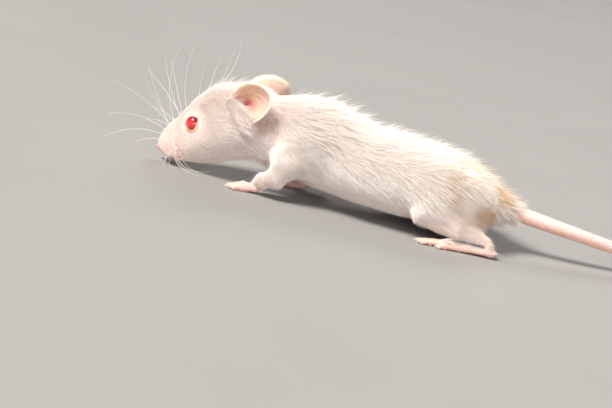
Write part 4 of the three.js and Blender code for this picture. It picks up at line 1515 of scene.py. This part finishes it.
def skinMaterial():
    # coat-coloured under the fur, bare pink flesh where the masks say
    material, tree, shader = newMaterial("mouseSkin", Roughness=0.55, Subsurface_Scale=0.0011)
    shader.inputs["Subsurface Radius"].default_value = (1.0, 0.36, 0.22)
    coatOut = placeGroup(tree, "coatColours", {
        "Pale": (0.88, 0.78, 0.71, 1), "Stain": maskOf(tree, "stain"),
        "Blush": maskOf(tree, "blush")})
    grain = placeGroup(tree, "skinGrain")
    tone = between(tree, grain["Tone"], 0.3, 0.7, -0.5, 0.5)
    place = objectPlace(tree)
    # the ear: flesh with faint veins, warm where light comes through (a painted glow), pale at the
    # edge, and dark red in its opening, red flesh darkened by painted shade of the recess
    swirl = addNode(tree, "ShaderNodeTexNoise", {"Vector": place, "Scale": 300.0})
    bent = addNode(tree, "ShaderNodeVectorMath", {
        0: place, 1: swirl.outputs["Color"], 2: (0.004, 0.004, 0.004)}, operation="MULTIPLY_ADD")
    net = addNode(tree, "ShaderNodeTexVoronoi", {"Vector": bent.outputs[0], "Scale": 360.0},
                  feature="DISTANCE_TO_EDGE").outputs["Distance"]
    veins = between(tree, net, 0.07, 0.0, 0.0, 0.35)
    flesh = mixColour(tree, veins, colours["earFlesh"], colours["earVein"])
    flesh = mixColour(tree, maskOf(tree, "earWarm"), flesh, colours["earWarm"])
    flesh = mixColour(tree, between(tree, maskOf(tree, "earShare"), 0.84, 0.99), flesh,
                      colours["earRim"])
    flesh = mixColour(tree, maskOf(tree, "earDeep"), flesh, colours["earDeep"])
    colour = mixColour(tree, maskOf(tree, "ear"), coatOut["Color"], flesh)
    colour = mixColour(tree, maskOf(tree, "foot"), colour, colours["footPink"])
    facing = addNode(tree, "ShaderNodeNewGeometry").outputs["Normal"]
    facing = addNode(tree, "ShaderNodeSeparateXYZ", {0: facing}).outputs[2]
    up = between(tree, facing, -0.4, 0.6)
    tailColour = mixColour(tree, up, colours["tailUnder"], colours["tailTop"])
    colour = mixColour(tree, maskOf(tree, "tail"), colour, tailColour)
    for mask, tint in (("nose", "nosePink"), ("lid", "lidRim"), ("lips", "lips")):
        colour = mixColour(tree, maskOf(tree, mask), colour, colours[tint])
    value = mathNode(tree, "ADD", 1.0, mathNode(tree, "MULTIPLY", tone, 0.14))
    tree.links.new(brighter(tree, colour, value), shader.inputs["Base Color"])
    soft = between(tree, maskOf(tree, "ear"), 0.0, 1.0, 0.3, 0.7)
    tree.links.new(soft, shader.inputs["Subsurface Weight"])
    bump = addNode(tree, "ShaderNodeBump", {"Height": grain["Height"], "Strength": 0.35,
                                            "Distance": 0.00006})
    tree.links.new(bump.outputs[0], shader.inputs["Normal"])
    return material


def furMaterial(name, pale, warm):
    # each hair a little pinker at its root, and a little lighter or darker than the next
    material, tree, shader = newMaterial(name, Roughness=0.55, Sheen_Weight=0.2,
                                         Sheen_Roughness=0.4)
    blush = mathNode(tree, "MULTIPLY", maskOf(tree, "blush"), 0.5)
    coatOut = placeGroup(tree, "coatColours", {
        "Pale": pale, "Stain": maskOf(tree, "stain"), "Blush": blush})
    root = mixColour(tree, warm, coatOut["Color"], colours["hairRoot"])
    colour = mixColour(tree, between(tree, maskOf(tree, "tip"), 0.0, 0.8), root, coatOut["Color"])
    value = between(tree, maskOf(tree, "shade"), 0.0, 1.0, 0.9, 1.06)
    tree.links.new(brighter(tree, colour, value), shader.inputs["Base Color"])
    return material


def clawMaterial():
    material, tree, shader = newMaterial("clawHorn", Roughness=0.28, Subsurface_Weight=0.2,
                                         Subsurface_Scale=0.0005)
    place = objectPlace(tree)
    streak = noiseNode(tree, place, 2500, 2)
    colour = mixColour(tree, between(tree, streak, 0.3, 0.7), colours["hornDeep"],
                       colours["hornPale"])
    tree.links.new(colour, shader.inputs["Base Color"])
    return material


def eyeMaterial():
    # ruby red, darker towards its back and top as painted shade, and in a ring round the pupil,
    # with a wet coat
    material, tree, shader = newMaterial("redEye", Roughness=0.12, Coat_Weight=1.0,
                                         Coat_Roughness=0.02, Subsurface_Weight=0.3,
                                         Subsurface_Scale=0.0008)
    shader.inputs["Subsurface Radius"].default_value = (1.0, 0.12, 0.1)
    look = maskOf(tree, "look")
    place = objectPlace(tree)
    streak = noiseNode(tree, place, 1800, 3)
    colour = mixColour(tree, between(tree, streak, 0.35, 0.65), colours["eyeDeep"],
                       colours["eyeBright"])
    ring = between(tree, look, 0.88, 0.80, 0.0, 0.5)
    colour = mixColour(tree, ring, colour, colours["pupilRing"])
    colour = mixColour(tree, maskOf(tree, "rear"), colour, colours["eyeShade"])
    tree.links.new(colour, shader.inputs["Base Color"])
    return material


def floorMaterial():
    material, tree, shader = newMaterial("paleFloor", Roughness=0.8)
    place = objectPlace(tree)
    cloud = noiseNode(tree, place, 12, 3)
    colour = mixColour(tree, cloud, colours["floorDeep"], colours["floorPale"])
    tree.links.new(colour, shader.inputs["Base Color"])
    return material


# where bare skin begins and is full: height of the feet, start of the tail, distance from the
# tip of the nose and from the lids; and the warm spot of the ear, a painted glow of light
# coming through it: middle, width, strength
bareSkin = {
    "foot": (1.7, 3.1), "tail": (83.3, 84.4), "noseTip": (0.3, 0, 0.1), "nose": (2.1, 1.3),
    "lid": (0.45, 0.1), "warm": (4.3, 3.4, 2.6, 0.75), "slitWide": 2.2, "lipWide": 0.35,
}


def skinMasks():
    # how far each place of the skin belongs to ears, feet, tail, nose, lids and lips
    p = skinPoints
    q = toFace(p)
    off = bodyForm(p)
    masks = {key: np.zeros(len(p)) for key in ("ear", "earShare", "earWarm", "earDeep")}
    warmAhead, warmUp, warmWide, warmth = bareSkin["warm"]
    for side in (left, right):
        on = earMask(p, off, side)
        e = toEar(p, side)
        ahead = -side * e[:, 0]
        near = smoothStep(1.6, 0.8, np.abs(e[:, 2] - cupDepth(e, side)[0]))
        # the ear's opening: its red flesh darkened by painted shade of the recess
        deep = bell(slitAt(ahead, e[:, 1]), bareSkin["slitWide"]) * near
        # painted glow where light comes through the ear
        warm = warmth * on * bell(np.hypot(ahead - warmAhead, e[:, 1] - warmUp), warmWide)
        masks["earDeep"] = np.maximum(masks["earDeep"], deep)
        masks["earWarm"] = np.maximum(masks["earWarm"], warm)
        masks["earShare"] = np.where(on > masks["ear"], np.clip(earShare(e, side), 0, 1.1),
                                     masks["earShare"])
        masks["ear"] = np.maximum(masks["ear"], on)
    masks["foot"] = footMask(p, *bareSkin["foot"])
    masks["tail"] = smoothStep(*bareSkin["tail"], p[:, 0] + noseShift)
    masks["nose"] = smoothStep(*bareSkin["nose"], np.linalg.norm(q - bareSkin["noseTip"], axis=1))
    masks["lid"] = smoothStep(*bareSkin["lid"], lidField(q)[0])
    line = bell(aboveMouth(q[:, 0], q[:, 2]), bareSkin["lipWide"])
    masks["lips"] = line * smoothStep(mouth["end"] + 0.5, mouth["end"] - 1, q[:, 0])
    masks.update(markings(p))
    for name, values in masks.items():
        addMask(skin, name, values)


def dress():
    skinMasks()
    finishes = {
        "skin": skinMaterial(), "coat": furMaterial("whiteFur", (0.95, 0.91, 0.86, 1), 0.55),
        "fuzz": furMaterial("fineHair", (0.94, 0.86, 0.80, 1), 0.3), "claws": clawMaterial(),
        "whiskers": furMaterial("whiskerHair", (0.97, 0.95, 0.92, 1), 0.0),
        "eyeball": eyeMaterial(),
    }
    made = [piece for piece in bpy.data.objects
            if piece.type == "MESH" and piece.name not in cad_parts]
    for piece in made:
        for start, finish in finishes.items():
            if piece.name.startswith(start):
                piece.data.materials.clear()
                piece.data.materials.append(finish)


dress()
print("materials made")


# ---- camera, floor and lights

view = {
    "place": (5.111, -324.959, 80.525), "azimuth": 8, "elevation": 14, "roll": 12.6, "lens": 85,
}


def addCamera():
    a, e, r = (math.radians(view[k]) for k in ("azimuth", "elevation", "roll"))
    ahead = np.array([-math.sin(a) * math.cos(e), math.cos(a) * math.cos(e), -math.sin(e)])
    level = unit(np.cross(ahead, [0, 0, 1]))
    above = np.cross(level, ahead)
    across = math.cos(r) * level + math.sin(r) * above
    up = -math.sin(r) * level + math.cos(r) * above
    camera = bpy.data.objects.new("camera", bpy.data.cameras.new("camera"))
    bpy.context.scene.collection.objects.link(camera)
    camera.data.lens, camera.data.sensor_width = view["lens"], 36
    camera.data.clip_start, camera.data.clip_end = 0.01, 20
    matrix = np.eye(4)
    matrix[:3, 0], matrix[:3, 1], matrix[:3, 2] = across, up, -ahead
    matrix[:3, 3] = np.array(view["place"]) * mm
    camera.matrix_world = Matrix(matrix.tolist())
    bpy.context.scene.camera = camera


addCamera()

world = {"colour": (0.9, 0.94, 1.0, 1), "strength": 0.2}
floorGrid = {"half": 4000, "rows": 17}
lamps = {
    # name: place (mm), the point it faces (mm), size (mm), watts, colour
    "key": ((-1000, -900, 1900), (-30, 0, 10), 800, 82, (1.0, 0.96, 0.91)),
    "fill": ((500, -2000, 700), (-30, 0, 10), 1400, 16, (1.0, 0.97, 0.95)),
    "rim": ((200, 1600, 1240), (-40, 0, 15), 900, 14, (1.0, 0.97, 0.92)),
    "catch": ((330, -620, 150), (-66, -5, 12), 130, 0.5, (1.0, 0.97, 0.95)),
}


def addLights():
    for name, (place, at, size, watts, colour) in lamps.items():
        lamp = bpy.data.lights.new(name, "AREA")
        lamp.energy, lamp.color, lamp.size = watts, colour, size * mm
        holder = bpy.data.objects.new(name, lamp)
        holder.location = [v * mm for v in place]
        toward = Vector([b - a for a, b in zip(place, at)])
        holder.rotation_euler = toward.to_track_quat("-Z", "Y").to_euler()
        bpy.context.scene.collection.objects.link(holder)
    studio = bpy.data.worlds.new("studio")
    studio.use_nodes = True
    background = studio.node_tree.nodes["Background"]
    background.inputs["Color"].default_value = world["colour"]
    background.inputs["Strength"].default_value = world["strength"]
    bpy.context.scene.world = studio
    bpy.context.scene.view_settings.view_transform = "Standard"


def addFloor():
    half, rows = floorGrid["half"], floorGrid["rows"]
    x, y = np.meshgrid(*[np.linspace(-half, half, rows)] * 2, indexing="ij")
    points = np.column_stack([x.ravel(), y.ravel(), np.zeros(x.size)])
    floor = makePiece("floor", points, gridFaces(rows, rows, False))
    floor.data.materials.append(floorMaterial())


addLights()
addFloor()
print("camera, lights and floor set")
